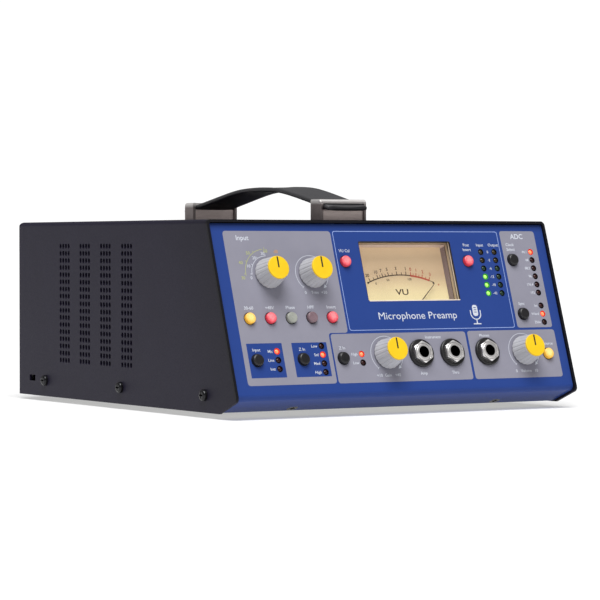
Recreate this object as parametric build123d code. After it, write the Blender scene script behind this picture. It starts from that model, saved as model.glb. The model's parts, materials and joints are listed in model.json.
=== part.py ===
from build123d import *
import os
from math import atan2, cos, degrees, hypot, radians, sin, tan

# Desktop microphone preamplifier in a wedge-fronted steel case with a strap handle.
# Case coordinates in millimetres: X runs to the right seen from the front, Y runs
# back from the nose of the case, Z runs up from its underside. place() moves every
# part so that Z = 0 is the floor under the feet and X = Y = 0 is the middle.

# ---- driving dimensions -------------------------------------------------------
CASE_W = 221.0
CASE_D = 253.3
CASE_H = 101.5
FOOT_H = 2.9
SHEET = 1.5              # folded steel of the cover, tray and rear panel
PANEL_T = 2.0            # folded aluminium of the front panel
NOSE_Z = 7.2             # height of the front edge where slope and lip meet
LIP_BACK = 18.3          # how far the lip runs back to the underside
CORNER_R = 2.4           # outer radius of the cover's folds and corners
FRONT_TILT = 18.5        # degrees that the front slope leans back
RECESS = 1.3             # front panel behind the cover's front edges
REAR_INSET = 3.0         # rear panel in front of the cover's rear edges
SIDE_GAP = 0.2           # sliding gap between sheets
MIDDLE_U = 109.5         # panel coordinate U of the middle of the case
ZERO_V = 1.3             # distance up the slope from the nose to V = 0

# ---- front panel layout: u to the right and v up the slope, both in mm ------------
KNOBS = {
    "gain": (32.0, 68.3),
    "trim": (59.2, 68.3),
    "instrument": (97.6, 22.6),
    "phones": (189.0, 22.6),
}
BUTTON_ROW_U = 15.8
BUTTON_PITCH = 12.8
BUTTON_ROW_V = 43.7
ROW_NAMES = ["gain_range", "phantom", "phase", "filter", "insert"]
LIT_BUTTONS = {
    name: (BUTTON_ROW_U + BUTTON_PITCH * i, BUTTON_ROW_V)
    for i, name in enumerate(ROW_NAMES)
}
LIT_BUTTONS["meter_cal"] = (81.7, 74.9)
LIT_BUTTONS["post_insert"] = (162.6, 74.9)
LIT_BUTTONS["phones_source"] = (205.2, 20.6)
BLACK_BUTTONS = {
    "input_select": (16.2, 20.9),
    "impedance": (44.5, 20.9),
    "instrument_impedance": (69.5, 20.9),
    "clock_select": (193.5, 75.5),
    "sync": (193.5, 43.9),
}
LED_PITCH = 4.8
METER_LED_U = (172.7, 181.9)
LEVEL_LED_V = 56.3
LEVEL_LEDS = [(u, LEVEL_LED_V + LED_PITCH * i) for u in METER_LED_U for i in range(6)]
CLOCK_LED_U = 207.2
STATUS_LEDS = (
    [(CLOCK_LED_U, LEVEL_LED_V + LED_PITCH * i) for i in range(6)]
    + [(CLOCK_LED_U, 39.1 + LED_PITCH * i) for i in range(3)]
    + [(29.1, 16.1 + LED_PITCH * i) for i in range(3)]
    + [(57.1, 13.7 + LED_PITCH * i) for i in range(4)]
    + [(81.6, 18.3 + LED_PITCH * i) for i in range(2)]
)
FRONT_JACKS = [(119.8, 22.6), (140.3, 22.6), (163.8, 22.6)]

# ---- meter ----------------------------------------------------------------------
WINDOW_U = (92.3, 152.9)
WINDOW_V = (52.5, 86.5)
METER_V0 = 34.4          # lower end of the meter's cavity, hidden by the panel
DIAL_H = -10.0           # front of the dial, measured out from the panel face
DIAL_T = 0.8
METER_WALL = 2.0
METER_BACK = -26.0
PIVOT_U = sum(WINDOW_U) / 2
PIVOT_V = 45.6
NEEDLE_LENGTH = 28.0
NEEDLE_REST = -47.5      # degrees from straight up: the pointer rests at full scale
STAFF_R = 0.8
RUNNING = 0.05           # radial clearance of every running fit

# ---- controls ---------------------------------------------------------------------
KNOB_BASE_R = 8.3
KNOB_TOP_R = 6.45
KNOB_BASE_H = 1.0
KNOB_TOP_H = 10.6
KNOB_CAP_R = 6.3
KNOB_CAP_T = 0.9
SHAFT_R = 3.0
BUSHING_R = 3.5
FRONT_BOARD_H = -12.0
BOARD_T = 1.6
LIT_R = 3.0
LIT_TOP = 2.0
BLACK_R = 3.3
BLACK_TOP = 2.3
LED_R = 1.5
LED_HOLE_R = 1.75
LED_TOP = 0.3            # tip of every lamp's dome above the panel face
JACK_BORE_R = 3.2
JACK_THREAD_R = 4.65
JACK_SLEEVE = 16.0
JACK_DEPTH = 27.0
JACK_BORE_END = 25.0     # depth of the blind end of the jacks' bores
WASHER_T = 1.7
JACK_NUT_T = 1.8
JACK_OUT = WASHER_T + JACK_NUT_T

# ---- handle ---------------------------------------------------------------------
HANDLE_Y = 146.1         # middle of the handle
CAP_OUT = 76.5           # from the middle to each cap's outer face
CAP_W = 30.5
CAP_D = 10.5
CAP_TOP = 113.5
CAP_WALL = 1.7
STRAP_W = 26.6
STRAP_T = 3.0
STRAP_END = 4.5          # strap that shows past a cap's outer face
STRAP_RISE = 0.2         # slope of the strap's two ramps
STRAP_CAP_Z = 109.4      # middle of the strap at a cap's outer face
STRAP_TOP_Z = 120.2      # middle of the strap along its crest
STRAP_BEND_R = 120.0

# ---- frame of the front panel -----------------------------------------------------
TILT = radians(FRONT_TILT)
NORMAL = Vector(0, -cos(TILT), sin(TILT))
UPWARD = Vector(0, sin(TILT), cos(TILT))
PANEL_ORIGIN = Vector(0, 0, NOSE_Z) - NORMAL * RECESS + UPWARD * ZERO_V
PANEL = Plane(origin=PANEL_ORIGIN, x_dir=(1, 0, 0), z_dir=NORMAL)
TOP_FRONT_Y = (CASE_H - NOSE_Z) * tan(TILT)
KNOB_TIP = (KNOB_TOP_H + KNOB_CAP_T - RECESS) * cos(TILT)
FRONT_REACH = KNOB_TIP - (ZERO_V + KNOBS["phones"][1] - KNOB_CAP_R) * sin(TILT)
ORIGIN_Y = (CASE_D - FRONT_REACH) / 2
REAR_Y = CASE_D - REAR_INSET
REAR = Plane(origin=(0, REAR_Y, 0), x_dir=(-1, 0, 0), z_dir=(0, 1, 0))


def place(shape):
    """Move a part from case coordinates to the frame of the whole object."""
    return Pos(0, -ORIGIN_Y, FOOT_H) * shape


def on_panel(shape, u, v, h=0.0):
    """Put a shape on the sloped front panel, its own Z pointing out."""
    return PANEL.location * Pos(u - MIDDLE_U, v, h) * shape


def on_rear(shape, x, z, out=0.0):
    """Put a shape on the rear panel at case X and Z, its own Z pointing out."""
    return REAR.location * Pos(-x, z, out) * shape


def rod(radius, low, high):
    """Round bar along Z from low to high."""
    return Pos(0, 0, (low + high) / 2) * Cylinder(radius, high - low)


def block(x_range, y_range, z_range):
    """Box between pairs of limits."""
    spans = [x_range, y_range, z_range]
    centre = [(a + b) / 2 for a, b in spans]
    return Pos(*centre) * Box(*[abs(b - a) for a, b in spans])


def joined(shapes):
    """Keep separate solids together as one part."""
    solids = []
    for shape in shapes:
        solids.extend(shape.solids())
    return Compound(children=solids)


def side_plate(points, x_low, x_high):
    """Solid with a straight-sided (Y, Z) outline, running along X."""
    outline = Plane.YZ * make_face(Polyline(*points, close=True))
    return Pos(x_low, 0, 0) * extrude(outline, x_high - x_low)


# ---- lip: the short face that runs back from the nose to the underside --------------
LIP_RUN = hypot(LIP_BACK, NOSE_Z)
LIP_DIR = (LIP_BACK / LIP_RUN, -NOSE_Z / LIP_RUN)
LIP_OUT = (-NOSE_Z / LIP_RUN, -LIP_BACK / LIP_RUN)


def lip_point(along, depth):
    """(Y, Z) of a point down the lip, and that deep behind the cover's front edge."""
    y = LIP_DIR[0] * along - LIP_OUT[0] * depth
    z = NOSE_Z + LIP_DIR[1] * along - LIP_OUT[1] * depth
    return (y, z)


def case_outline(depth=0.0, lip_length=LIP_RUN):
    """Side view of the case in (Y, Z), moved inward by depth, its lip as long as given."""
    low = NOSE_Z + LIP_DIR[1] * lip_length
    corners = [
        (LIP_DIR[0] * lip_length, low), (0, NOSE_Z), (TOP_FRONT_Y, CASE_H),
        (CASE_D, CASE_H), (CASE_D, low),
    ]
    face = make_face(Polyline(*corners, close=True))
    if depth:
        face = offset(face, -depth, kind=Kind.INTERSECTION)
    return face


# ---- fasteners ---------------------------------------------------------------------
SCREW_HEAD_R = 3.1
SCREW_HEAD_H = 2.3
FLUSH_HEAD_H = 1.6
SCREW_SHANK_R = 1.5
SCREW_LENGTH = 6.0
SIDE_SCREW_Y = (33.3, 126.3, 218.8)
SIDE_SCREW_Z = 9.2
LIP_SCREW_X = 66.0
LIP_SCREW_ALONG = 18.5
LIP_LENGTH = 21.8        # where the front panel's lip ends, just above the underside
BOARD_Z = 8.0
BOARD_X = (-100.0, 16.0)
BOARD_Y = (60.0, 222.0)
BOARD_SCREW_INSET = 6.0
CARD_X = 12.0
CARD_Z = 66.0
CARD_W = 92.0
CARD_H = 26.0
CARD_T = 1.2
XLR_Z = 62.0
MIC_X = -86.0
LINE_X = -56.0
FLANGE_W = 26.0
FLANGE_H = 31.0
FLANGE_T = 1.8
FLANGE_SCREW = (9.5, 12.0)


def cross_recess(top):
    """Cutter for the cross in a screw head whose top is at that height."""
    slot = Pos(0, 0, top) * Box(3.6, 0.9, 2.2)
    return slot + Rot(0, 0, 90) * slot


def pan_screw():
    """M3 pan-head screw, its seat at Z = 0 and its head above."""
    head = rod(SCREW_HEAD_R, 0, SCREW_HEAD_H)
    head = fillet(head.edges().group_by(Axis.Z)[-1], 1.3)
    return head + rod(SCREW_SHANK_R, -SCREW_LENGTH, 0) - cross_recess(SCREW_HEAD_H)


def flush_head(clearance):
    """Cone of a countersunk head, its face at Z = 0, grown by a clearance."""
    middle = Pos(0, 0, -FLUSH_HEAD_H / 2)
    return middle * Cone(SCREW_SHANK_R + clearance, SCREW_HEAD_R + clearance, FLUSH_HEAD_H)


def flush_screw():
    """M3 countersunk screw, its face at Z = 0."""
    return flush_head(0) + rod(SCREW_SHANK_R, -SCREW_LENGTH, -FLUSH_HEAD_H) - cross_recess(0)


def board_screw_spots():
    """X and Y of the four main board fixings."""
    xs = (BOARD_X[0] + BOARD_SCREW_INSET, BOARD_X[1] - BOARD_SCREW_INSET)
    ys = (BOARD_Y[0] + BOARD_SCREW_INSET, BOARD_Y[1] - BOARD_SCREW_INSET)
    return [(x, y) for x in xs for y in ys]


def side_screw_spots():
    """Side (-1 or 1) and Y of the six cover screws."""
    return [(side, y) for side in (-1, 1) for y in SIDE_SCREW_Y]


def lip_screw_place(side, shape):
    """Put a shape on the front panel's lip at one of its two screws."""
    y, z = lip_point(LIP_SCREW_ALONG, RECESS)
    seat = Plane(origin=(side * LIP_SCREW_X, y, z), x_dir=(1, 0, 0), z_dir=(0, *LIP_OUT))
    return seat.location * shape


def flange_screw_spots():
    """X and Z of the four round-connector screws."""
    dx, dz = FLANGE_SCREW
    return [(x + s * dx, XLR_Z + s * dz) for x in (MIC_X, LINE_X) for s in (-1, 1)]


def card_screw_spots():
    """X and Z of the two card panel screws."""
    return [(CARD_X + s * (CARD_W / 2 - 5.0), CARD_Z) for s in (-1, 1)]


def case_screws():
    """Every M3 screw of the case: countersunk in the lip and pan-head elsewhere."""
    screw = pan_screw()
    parts = []
    for side, y in side_screw_spots():
        parts.append(Pos(side * CASE_W / 2, y, SIDE_SCREW_Z) * Rot(0, 90 * side, 0) * screw)
    for side in (-1, 1):
        parts.append(lip_screw_place(side, flush_screw()))
    for x, y in board_screw_spots():
        parts.append(Pos(x, y, BOARD_Z + BOARD_T) * screw)
    for x, z in flange_screw_spots():
        parts.append(on_rear(screw, x, z, FLANGE_T))
    for x, z in card_screw_spots():
        parts.append(on_rear(screw, x, z, CARD_T))
    return joined(parts)


# ---- case ---------------------------------------------------------------------------
VENT_SLOT = (3.0, 2.4)   # long side along Z
VENT_BANDS = 4
VENT_COLUMNS = 4
VENT_ROWS = 17
VENT_PITCH_Y = 3.4
VENT_PITCH_Z = 4.1
VENT_BAND_PITCH = 25.0
VENT_MIDDLE = (156.8, 54.6)
LOCK_SLOT_Y = (232.3, 239.8)
LOCK_SLOT_Z = (8.4, 11.9)
TRAY_SIDE_H = 16.0
TRAY_FRONT_Y = 31.0
STRAP_SCREW_X = 7.5


def vent_cutters():
    """Slots of both side vents, in four upright bands."""
    slot = Rot(0, 90, 0) * extrude(SlotOverall(*VENT_SLOT), CASE_W, both=True)
    cutters = []
    for band in range(VENT_BANDS):
        band_y = VENT_MIDDLE[0] + (band - (VENT_BANDS - 1) / 2) * VENT_BAND_PITCH
        for column in range(VENT_COLUMNS):
            y = band_y + (column - (VENT_COLUMNS - 1) / 2) * VENT_PITCH_Y
            for row in range(VENT_ROWS):
                z = VENT_MIDDLE[1] + (row - (VENT_ROWS - 1) / 2) * VENT_PITCH_Z
                cutters.append(Pos(0, y, z) * slot)
    return cutters


def handle_screw_spots():
    """X and Y of the four screws under the handle."""
    out = CAP_OUT - CAP_D / 2
    return [(x, HANDLE_Y + s * out) for s in (-1, 1) for x in (-STRAP_SCREW_X, STRAP_SCREW_X)]


def folded_section(depth):
    """Front view of the folded cover, moved inward by depth, as a long bar along Y."""
    bar = block((depth - CASE_W / 2, CASE_W / 2 - depth), (-20, CASE_D + 20),
                (-20, CASE_H - depth))
    return fillet(bar.edges().filter_by(Axis.Y).group_by(Axis.Z)[-1], CORNER_R - depth)


def top_cover():
    """Folded steel cover: the top and both sides in one piece."""
    side = case_outline()
    nose = side.vertices().sort_by(Axis.X)[0]
    rear_top = side.vertices().sort_by(Axis.X)[-2:].sort_by(Axis.Y)[-1]
    side = fillet([nose, rear_top], CORNER_R)
    shell = extrude(Plane.YZ * side, CASE_W / 2, both=True)
    shell &= folded_section(0)
    inside = folded_section(SHEET)
    holes = [Pos(0, y, SIDE_SCREW_Z) * Rot(0, 90, 0) * Cylinder(1.7, CASE_W + 10)
             for y in SIDE_SCREW_Y]
    holes.append(block((-CASE_W, 0), LOCK_SLOT_Y, LOCK_SLOT_Z))
    for x, y in handle_screw_spots():
        holes.append(Pos(x, y, CASE_H) * Cylinder(2.2, 10))
    return shell - inside - holes - vent_cutters()


def chassis_tray():
    """Bottom tray with side flanges, a front flange behind the lip, and board studs."""
    half = CASE_W / 2 - SHEET - SIDE_GAP
    depth = RECESS + PANEL_T
    floor = [
        lip_point(14, depth), lip_point((NOSE_Z - LIP_OUT[1] * depth) / -LIP_DIR[1], depth),
        (REAR_Y, 0), (REAR_Y, SHEET),
        lip_point((NOSE_Z - LIP_OUT[1] * (depth + SHEET) - SHEET) / -LIP_DIR[1], depth + SHEET),
        lip_point(14, depth + SHEET),
    ]
    tray = side_plate(floor, -half, half)
    for side in (-1, 1):
        wall = block((half - SHEET, half), (TRAY_FRONT_Y, REAR_Y), (0, TRAY_SIDE_H))
        tray += wall if side > 0 else mirror(wall, Plane.YZ)
    for x, y in board_screw_spots():
        tray += Pos(x, y, 0) * rod(3.5, SHEET, BOARD_Z)
        tray -= Pos(x, y, 0) * rod(SCREW_SHANK_R + RUNNING, 0.5, BOARD_Z + 1)
    cuts = [Pos(0, y, SIDE_SCREW_Z) * Rot(0, 90, 0) * Cylinder(SCREW_SHANK_R + RUNNING, CASE_W)
            for y in SIDE_SCREW_Y]
    cuts.append(block((-CASE_W, 0), (LOCK_SLOT_Y[0] - 1, LOCK_SLOT_Y[1] + 1),
                      (LOCK_SLOT_Z[0] - 1, LOCK_SLOT_Z[1] + 1)))
    for side in (-1, 1):
        cuts.append(lip_screw_place(side, Cylinder(SCREW_SHANK_R + RUNNING, 14)))
    for x, y in foot_spots():
        cuts.append(Pos(x, y, 0) * Cylinder(2.1, 10))
    cuts.append(Pos(TOROID_X, TOROID_Y, 0) * Cylinder(3.1, 10))
    return tray - cuts


def rear_panel():
    """Rear plate with a foot flange and the cut-outs for everything mounted on it."""
    half = CASE_W / 2 - SHEET - SIDE_GAP - SHEET - SIDE_GAP
    plate = block((-half, half), (REAR_Y - SHEET, REAR_Y), (SHEET, CASE_H - SHEET - SIDE_GAP))
    plate += block((-half, half), (REAR_Y - 12, REAR_Y), (SHEET, 2 * SHEET))
    cuts = [on_rear(Box(INLET_BODY[0] + 0.3, INLET_BODY[1] + 0.3, 20), INLET_X, INLET_Z)]
    for x in (MIC_X, LINE_X):
        cuts.append(on_rear(Cylinder(XLR_BODY_R + 0.15, 20), x, XLR_Z))
    for x in REAR_JACK_X:
        cuts.append(on_rear(Cylinder(JACK_THREAD_R + 0.1, 20), x, REAR_JACK_Z))
    cuts.append(on_rear(Box(CARD_W - 20, CARD_H - 8, 20), CARD_X, CARD_Z))
    for x, z in flange_screw_spots() + card_screw_spots():
        cuts.append(on_rear(Cylinder(SCREW_SHANK_R + RUNNING, 20), x, z))
    return plate - cuts


def converter_card_panel():
    """Blank plate over the opening for an optional converter card."""
    plate = extrude(RectangleRounded(CARD_W, CARD_H, 1.5), CARD_T)
    plate = on_rear(plate, CARD_X, CARD_Z)
    holes = [on_rear(Cylinder(SCREW_SHANK_R + RUNNING, 20), x, z) for x, z in card_screw_spots()]
    return plate - holes


FOOT_X = 74.0
FOOT_Y = (75.3, 225.3)
FOOT_R = 7.0


def foot_spots():
    """X and Y of the four feet."""
    return [(x, y) for x in (-FOOT_X, FOOT_X) for y in FOOT_Y]


def rubber_feet():
    """Round push-in feet with barbed stems through the tray."""
    foot = rod(FOOT_R, -FOOT_H, 0)
    foot = fillet(foot.edges().group_by(Axis.Z)[0], 1.0)
    foot += rod(2.0, 0, SHEET + 0.3)
    foot += Pos(0, 0, SHEET + 1.2) * Cone(2.7, 1.6, 1.8)
    return joined([Pos(x, y, 0) * foot for x, y in foot_spots()])


def panel_holes():
    """Everything cut through the sloped face of the front panel."""
    def hole(radius, spots):
        return [on_panel(Cylinder(radius, 20), u, v) for u, v in spots]

    cuts = hole(BUSHING_R + 0.1, KNOBS.values())
    cuts += hole(LIT_R + 0.4, LIT_BUTTONS.values())
    cuts += hole(BLACK_R + 0.3, BLACK_BUTTONS.values())
    cuts += hole(LED_HOLE_R, LEVEL_LEDS + STATUS_LEDS)
    cuts += hole(JACK_THREAD_R + 0.1, FRONT_JACKS)
    window = extrude(RectangleRounded(WINDOW_U[1] - WINDOW_U[0], WINDOW_V[1] - WINDOW_V[0], 1.0),
                     10, both=True)
    cuts.append(on_panel(window, PIVOT_U, sum(WINDOW_V) / 2))
    return cuts


def front_panel():
    """Folded aluminium panel: sloped face, rounded nose, lip below and flange above."""
    half = CASE_W / 2 - SHEET - SIDE_GAP
    long_lip = 3 * LIP_RUN
    skin = case_outline(RECESS, long_lip) - case_outline(RECESS + PANEL_T, long_lip)
    flange_y = TOP_FRONT_Y + 18
    top = CASE_H - SHEET - 0.5      # clear of the rounded inner corners of the cover
    slope_part = make_face(Polyline(
        (-20, NOSE_Z), (-20, top), (flange_y, top), (flange_y, CASE_H - 8),
        lip_point(LIP_LENGTH, 8), lip_point(LIP_LENGTH, -8), close=True))
    panel = extrude(Plane.YZ * (skin & slope_part), 2 * half)
    panel = Pos(-half, 0, 0) * panel
    nose = panel.edges().filter_by(Axis.X).sort_by(Axis.Y)[0]
    panel = fillet(nose, 3.0)
    corner = case_outline(RECESS + PANEL_T).vertices().sort_by(Axis.X)[0]
    bend = panel.edges().filter_by(Axis.X).sort_by_distance((0, corner.X, corner.Y))[0]
    panel = fillet(bend, 1.0)
    cuts = [lip_screw_place(side, shape) for side in (-1, 1)
            for shape in (flush_head(0.05), Cylinder(1.7, 14))]
    return panel - panel_holes() - cuts


# ---- handle -------------------------------------------------------------------------
def strap_path():
    """Corner points of the strap's middle line in (Y, Z)."""
    ramp = (STRAP_TOP_Z - STRAP_CAP_Z) / STRAP_RISE
    end = CAP_OUT + STRAP_END
    end_z = STRAP_CAP_Z - STRAP_RISE * STRAP_END
    crest = CAP_OUT - ramp
    return [
        (HANDLE_Y - end, end_z), (HANDLE_Y - crest, STRAP_TOP_Z),
        (HANDLE_Y + crest, STRAP_TOP_Z), (HANDLE_Y + end, end_z),
    ]


def handle_strap():
    """Flexible carrying strap as one plain band with rounded ends."""
    path = Plane.YZ * FilletPolyline(*strap_path(), radius=STRAP_BEND_R)
    start = Plane(origin=path @ 0, x_dir=(1, 0, 0), z_dir=path % 0)
    band = sweep(start * Rectangle(STRAP_W, STRAP_T), path=path)
    ends = band.edges().filter_by(Axis.X).group_by(SortBy.LENGTH)[-1]
    outer = [e for e in ends if abs(e.center().Y - HANDLE_Y) > CAP_OUT]
    return fillet(outer, 1.2)


def strap_slot(y_span, lift):
    """Solid below a line parallel to the front ramp, lift above the strap's middle."""
    y0, y1 = y_span
    start_y = HANDLE_Y - CAP_OUT
    z0 = STRAP_CAP_Z + STRAP_RISE * (y0 - start_y) + lift
    z1 = STRAP_CAP_Z + STRAP_RISE * (y1 - start_y) + lift
    return side_plate([(y0, CASE_H), (y0, z0), (y1, z1), (y1, CASE_H)],
                      CAP_WALL - CAP_W / 2, CAP_W / 2 - CAP_WALL)


def both_ends(shape):
    """The front one of a pair, and its mirror image at the rear."""
    return joined([shape, mirror(shape, Plane.XZ.offset(-HANDLE_Y))])


def handle_caps():
    """Metal end caps: an arch over the strap, open at the inner side of its roof."""
    y0 = HANDLE_Y - CAP_OUT
    cap = block((-CAP_W / 2, CAP_W / 2), (y0, y0 + CAP_D), (CASE_H, CAP_TOP))
    cap = fillet(cap.edges().filter_by(Axis.X).group_by(Axis.Z)[-1].sort_by(Axis.Y)[0], 2.0)
    cap = chamfer(cap.edges().group_by(Axis.Z)[-1].filter_by(Axis.Y), 0.5)
    cap -= strap_slot((y0 - 1, y0 + CAP_D + 1), STRAP_T / 2 + 0.35)
    roof_open = block((CAP_WALL - CAP_W / 2, CAP_W / 2 - CAP_WALL),
                      (y0 + 4.5, y0 + CAP_D + 1), (CASE_H, CAP_TOP + 1))
    return both_ends(cap - roof_open)


def handle_saddles():
    """Blocks that hold the strap up inside the caps."""
    y0 = HANDLE_Y - CAP_OUT + 1.0
    block_under = strap_slot((y0, y0 + CAP_D - 2.0), -STRAP_T / 2 - 0.35)
    slim = block((0.1 + CAP_WALL - CAP_W / 2, CAP_W / 2 - CAP_WALL - 0.1),
                 (y0 - 1, y0 + CAP_D), (CASE_H, CAP_TOP))
    saddle = block_under & slim
    for x in (-STRAP_SCREW_X, STRAP_SCREW_X):
        middle = HANDLE_Y - CAP_OUT + CAP_D / 2
        saddle -= Pos(x, middle, CASE_H) * rod(2.0 + RUNNING, -1, 5.0)
    return both_ends(saddle)


def handle_screws():
    """M4 screws from inside the case, up into the saddles."""
    top = CASE_H - SHEET
    screw = rod(3.5, top - 2.4, top) + rod(2.0, top - 1, CASE_H + 4.5)
    return joined([Pos(x, y, 0) * screw for x, y in handle_screw_spots()])


# ---- rotary controls -----------------------------------------------------------------
FLUTES = 20
FLUTE_R = 0.9
FLUTE_DEPTH = 0.2
NUT_FLATS = 10.0
NUT_T = 2.0
JACK_NUT_FLATS = 10.8
POT_W = 17.0
SWITCH_R = 12.5


def knob():
    """Tapered fluted knob, hollow below to clear the nut."""
    body = Pos(0, 0, (KNOB_BASE_H + KNOB_TOP_H) / 2) * Cone(
        KNOB_BASE_R, KNOB_TOP_R, KNOB_TOP_H - KNOB_BASE_H)
    taper = degrees(atan2(KNOB_BASE_R - KNOB_TOP_R, KNOB_TOP_H - KNOB_BASE_H))
    middle_r = (KNOB_BASE_R + KNOB_TOP_R) / 2 + FLUTE_R - FLUTE_DEPTH
    flute = Pos(middle_r, 0, (KNOB_BASE_H + KNOB_TOP_H) / 2) * Rot(0, -taper, 0) * Cylinder(
        FLUTE_R, 20)
    body -= [Rot(0, 0, (i + 0.5) * 360 / FLUTES) * flute for i in range(FLUTES)]
    body -= rod(6.2, 0, 3.4)
    body -= rod(SHAFT_R + RUNNING, 0, 9.2)
    return body - rod(4.05, 9.6, 12)


def knob_cap():
    """Flat coloured cap on a short spigot."""
    disc = rod(KNOB_CAP_R, KNOB_TOP_H, KNOB_TOP_H + KNOB_CAP_T)
    disc = fillet(disc.edges().group_by(Axis.Z)[-1], 0.35)
    return disc + rod(4.0, 9.65, KNOB_TOP_H)


def shaft():
    """Control spindle, running in the bushing below and gripped by the knob above."""
    return chamfer(rod(SHAFT_R, -9.5, 9.0).edges().group_by(Axis.Z)[-1], 0.5)


def control_body(body):
    """A body behind the panel with the threaded bushing that comes through it."""
    whole = body + rod(BUSHING_R, -3.0, 3.3)
    return whole - rod(SHAFT_R + RUNNING, -9.7, 5)


def potentiometers():
    """Three board-mounted potentiometers."""
    box = Pos(0, 0, (FRONT_BOARD_H - 2.2) / 2) * Box(POT_W, POT_W, -2.2 - FRONT_BOARD_H)
    pot = control_body(fillet(box.edges().filter_by(Axis.Z), 2.0))
    return joined([on_panel(pot, *KNOBS[n]) for n in ("trim", "instrument", "phones")])


def gain_rotary_switch():
    """Four-way rotary switch of the gain range."""
    return on_panel(control_body(rod(SWITCH_R, FRONT_BOARD_H, -2.2)), *KNOBS["gain"])


def hex_nut(flats, thickness, bore):
    """Hexagon nut standing on Z = 0 with a corner pointing up the panel."""
    nut = extrude(RegularPolygon(flats / 2, 6, major_radius=False, rotation=30), thickness)
    crown = Pos(0, 0, thickness / 2) * Cone(flats / 2 + thickness * 2.2, flats / 2, thickness)
    return (nut & crown) - Cylinder(bore, 4 * thickness)


def panel_nuts():
    """Nickel nuts of the four controls and of every jack."""
    nut = hex_nut(NUT_FLATS, NUT_T, BUSHING_R + RUNNING)
    jack_nut = hex_nut(JACK_NUT_FLATS, JACK_NUT_T, JACK_THREAD_R + RUNNING)
    parts = [on_panel(nut, u, v) for u, v in KNOBS.values()]
    parts += [on_panel(jack_nut, u, v, WASHER_T) for u, v in FRONT_JACKS]
    parts += [on_rear(jack_nut, x, REAR_JACK_Z, WASHER_T) for x in REAR_JACK_X]
    return joined(parts)


# ---- push buttons ---------------------------------------------------------------------
SWITCH_TOP = -7.0
STEM_R = 1.6
STEM_LOW = -8.5


def lit_button():
    """Round illuminated button on its stem."""
    cap = rod(LIT_R, -4.5, LIT_TOP)
    cap = fillet(cap.edges().group_by(Axis.Z)[-1], 0.6)
    return cap + rod(STEM_R, STEM_LOW, -4.5)


def black_button():
    """Domed black button on its stem."""
    cap = rod(BLACK_R, -4.5, BLACK_TOP)
    cap = fillet(cap.edges().group_by(Axis.Z)[-1], 1.2)
    return cap + rod(STEM_R, STEM_LOW, -4.5)


def push_switches():
    """Switch bodies on the front board, one behind each button."""
    height = SWITCH_TOP - FRONT_BOARD_H
    body = Pos(0, 0, (SWITCH_TOP + FRONT_BOARD_H) / 2) * Box(7.5, 7.5, height)
    body -= rod(STEM_R + RUNNING, -11.0, 0)
    spots = list(LIT_BUTTONS.values()) + list(BLACK_BUTTONS.values())
    return joined([on_panel(body, u, v) for u, v in spots])


# ---- indicator lamps --------------------------------------------------------------------
def led():
    """3 mm lamp with a rim, the tip of its dome just out of the panel hole."""
    dome_z = LED_TOP - LED_R
    lamp = rod(LED_R, -5.0, dome_z) + Pos(0, 0, dome_z) * Sphere(LED_R)
    lamp += rod(1.9, -5.8, -5.0)
    legs = [Pos(x, 0, 0) * rod(0.3, FRONT_BOARD_H, -5.8) for x in (-1.27, 1.27)]
    return lamp + legs


def led_group(spots):
    """One lamp at each spot."""
    lamp = led()
    return joined([on_panel(lamp, u, v) for u, v in spots])


# ---- meter ----------------------------------------------------------------------------
def meter_block(grow, low, high):
    """Block over the meter's cavity, larger by grow all round."""
    u_mid = sum(WINDOW_U) / 2
    v_mid = (METER_V0 + WINDOW_V[1]) / 2
    width = WINDOW_U[1] - WINDOW_U[0] + 2 * grow
    tall = WINDOW_V[1] - METER_V0 + 2 * grow
    return on_panel(Box(width, tall, high - low), u_mid, v_mid, (low + high) / 2)


def meter_housing():
    """Moulded case of the meter, with a ledge that carries the dial."""
    shell = meter_block(METER_WALL, METER_BACK, -3.6)
    shell -= meter_block(0, DIAL_H - DIAL_T, 0)
    return shell - meter_block(-2.0, METER_BACK + METER_WALL, 0)


def meter_window():
    """Clear front plate of the meter."""
    return meter_block(METER_WALL, -3.5, -2.1)


def meter_dial():
    """Printed dial plate with a hole for the pointer's staff."""
    plate = meter_block(-0.15, DIAL_H - DIAL_T, DIAL_H)
    return plate - on_panel(Cylinder(STAFF_R + 1.0, 40), PIVOT_U, PIVOT_V)


def at_pivot(shape, turned=True):
    """Put a meter part on the pointer's axis, turned to the rest reading or not."""
    angle = NEEDLE_REST if turned else 0
    return on_panel(Rot(0, 0, angle) * shape, PIVOT_U, PIVOT_V)


COIL_IN = 5.4
COIL_OUT = 6.4
COIL_FRONT = -12.0
COIL_BACK = -22.2
COIL_BAR = 0.7
CORE_R = 4.6
RING_IN = 7.2
RING_OUT = 8.8
MAGNET = (-21.0, -13.0)
NEEDLE_MID = -8.0


def meter_needle():
    """Pointer with hub, staff and counterweight."""
    blade = extrude(Polygon((-0.4, 0), (0.4, 0), (0.14, NEEDLE_LENGTH), (-0.14, NEEDLE_LENGTH),
                            align=None), 0.15, both=True)
    tail = Pos(0, -3.5, 0) * Box(1.0, 7.0, 0.4) + Pos(0, -6.5, 0) * Cylinder(1.2, 0.8)
    arm = Pos(0, 0, NEEDLE_MID) * (blade + tail)
    staff = rod(STAFF_R, METER_BACK + METER_WALL + 0.3, -6.5)
    return at_pivot(arm + rod(2.2, -9.0, -7.0) + staff)


def meter_coil():
    """Moving coil: a rectangular frame that turns round the core."""
    long_z = COIL_FRONT - COIL_BACK
    middle = (COIL_FRONT + COIL_BACK) / 2
    frame = Pos(0, 0, middle) * Box(2 * COIL_OUT, 2.4, long_z)
    frame -= Pos(0, 0, middle) * Box(2 * COIL_IN, 4, long_z - 2 * COIL_BAR)
    return at_pivot(frame - Cylinder(STAFF_R, 60))


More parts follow.
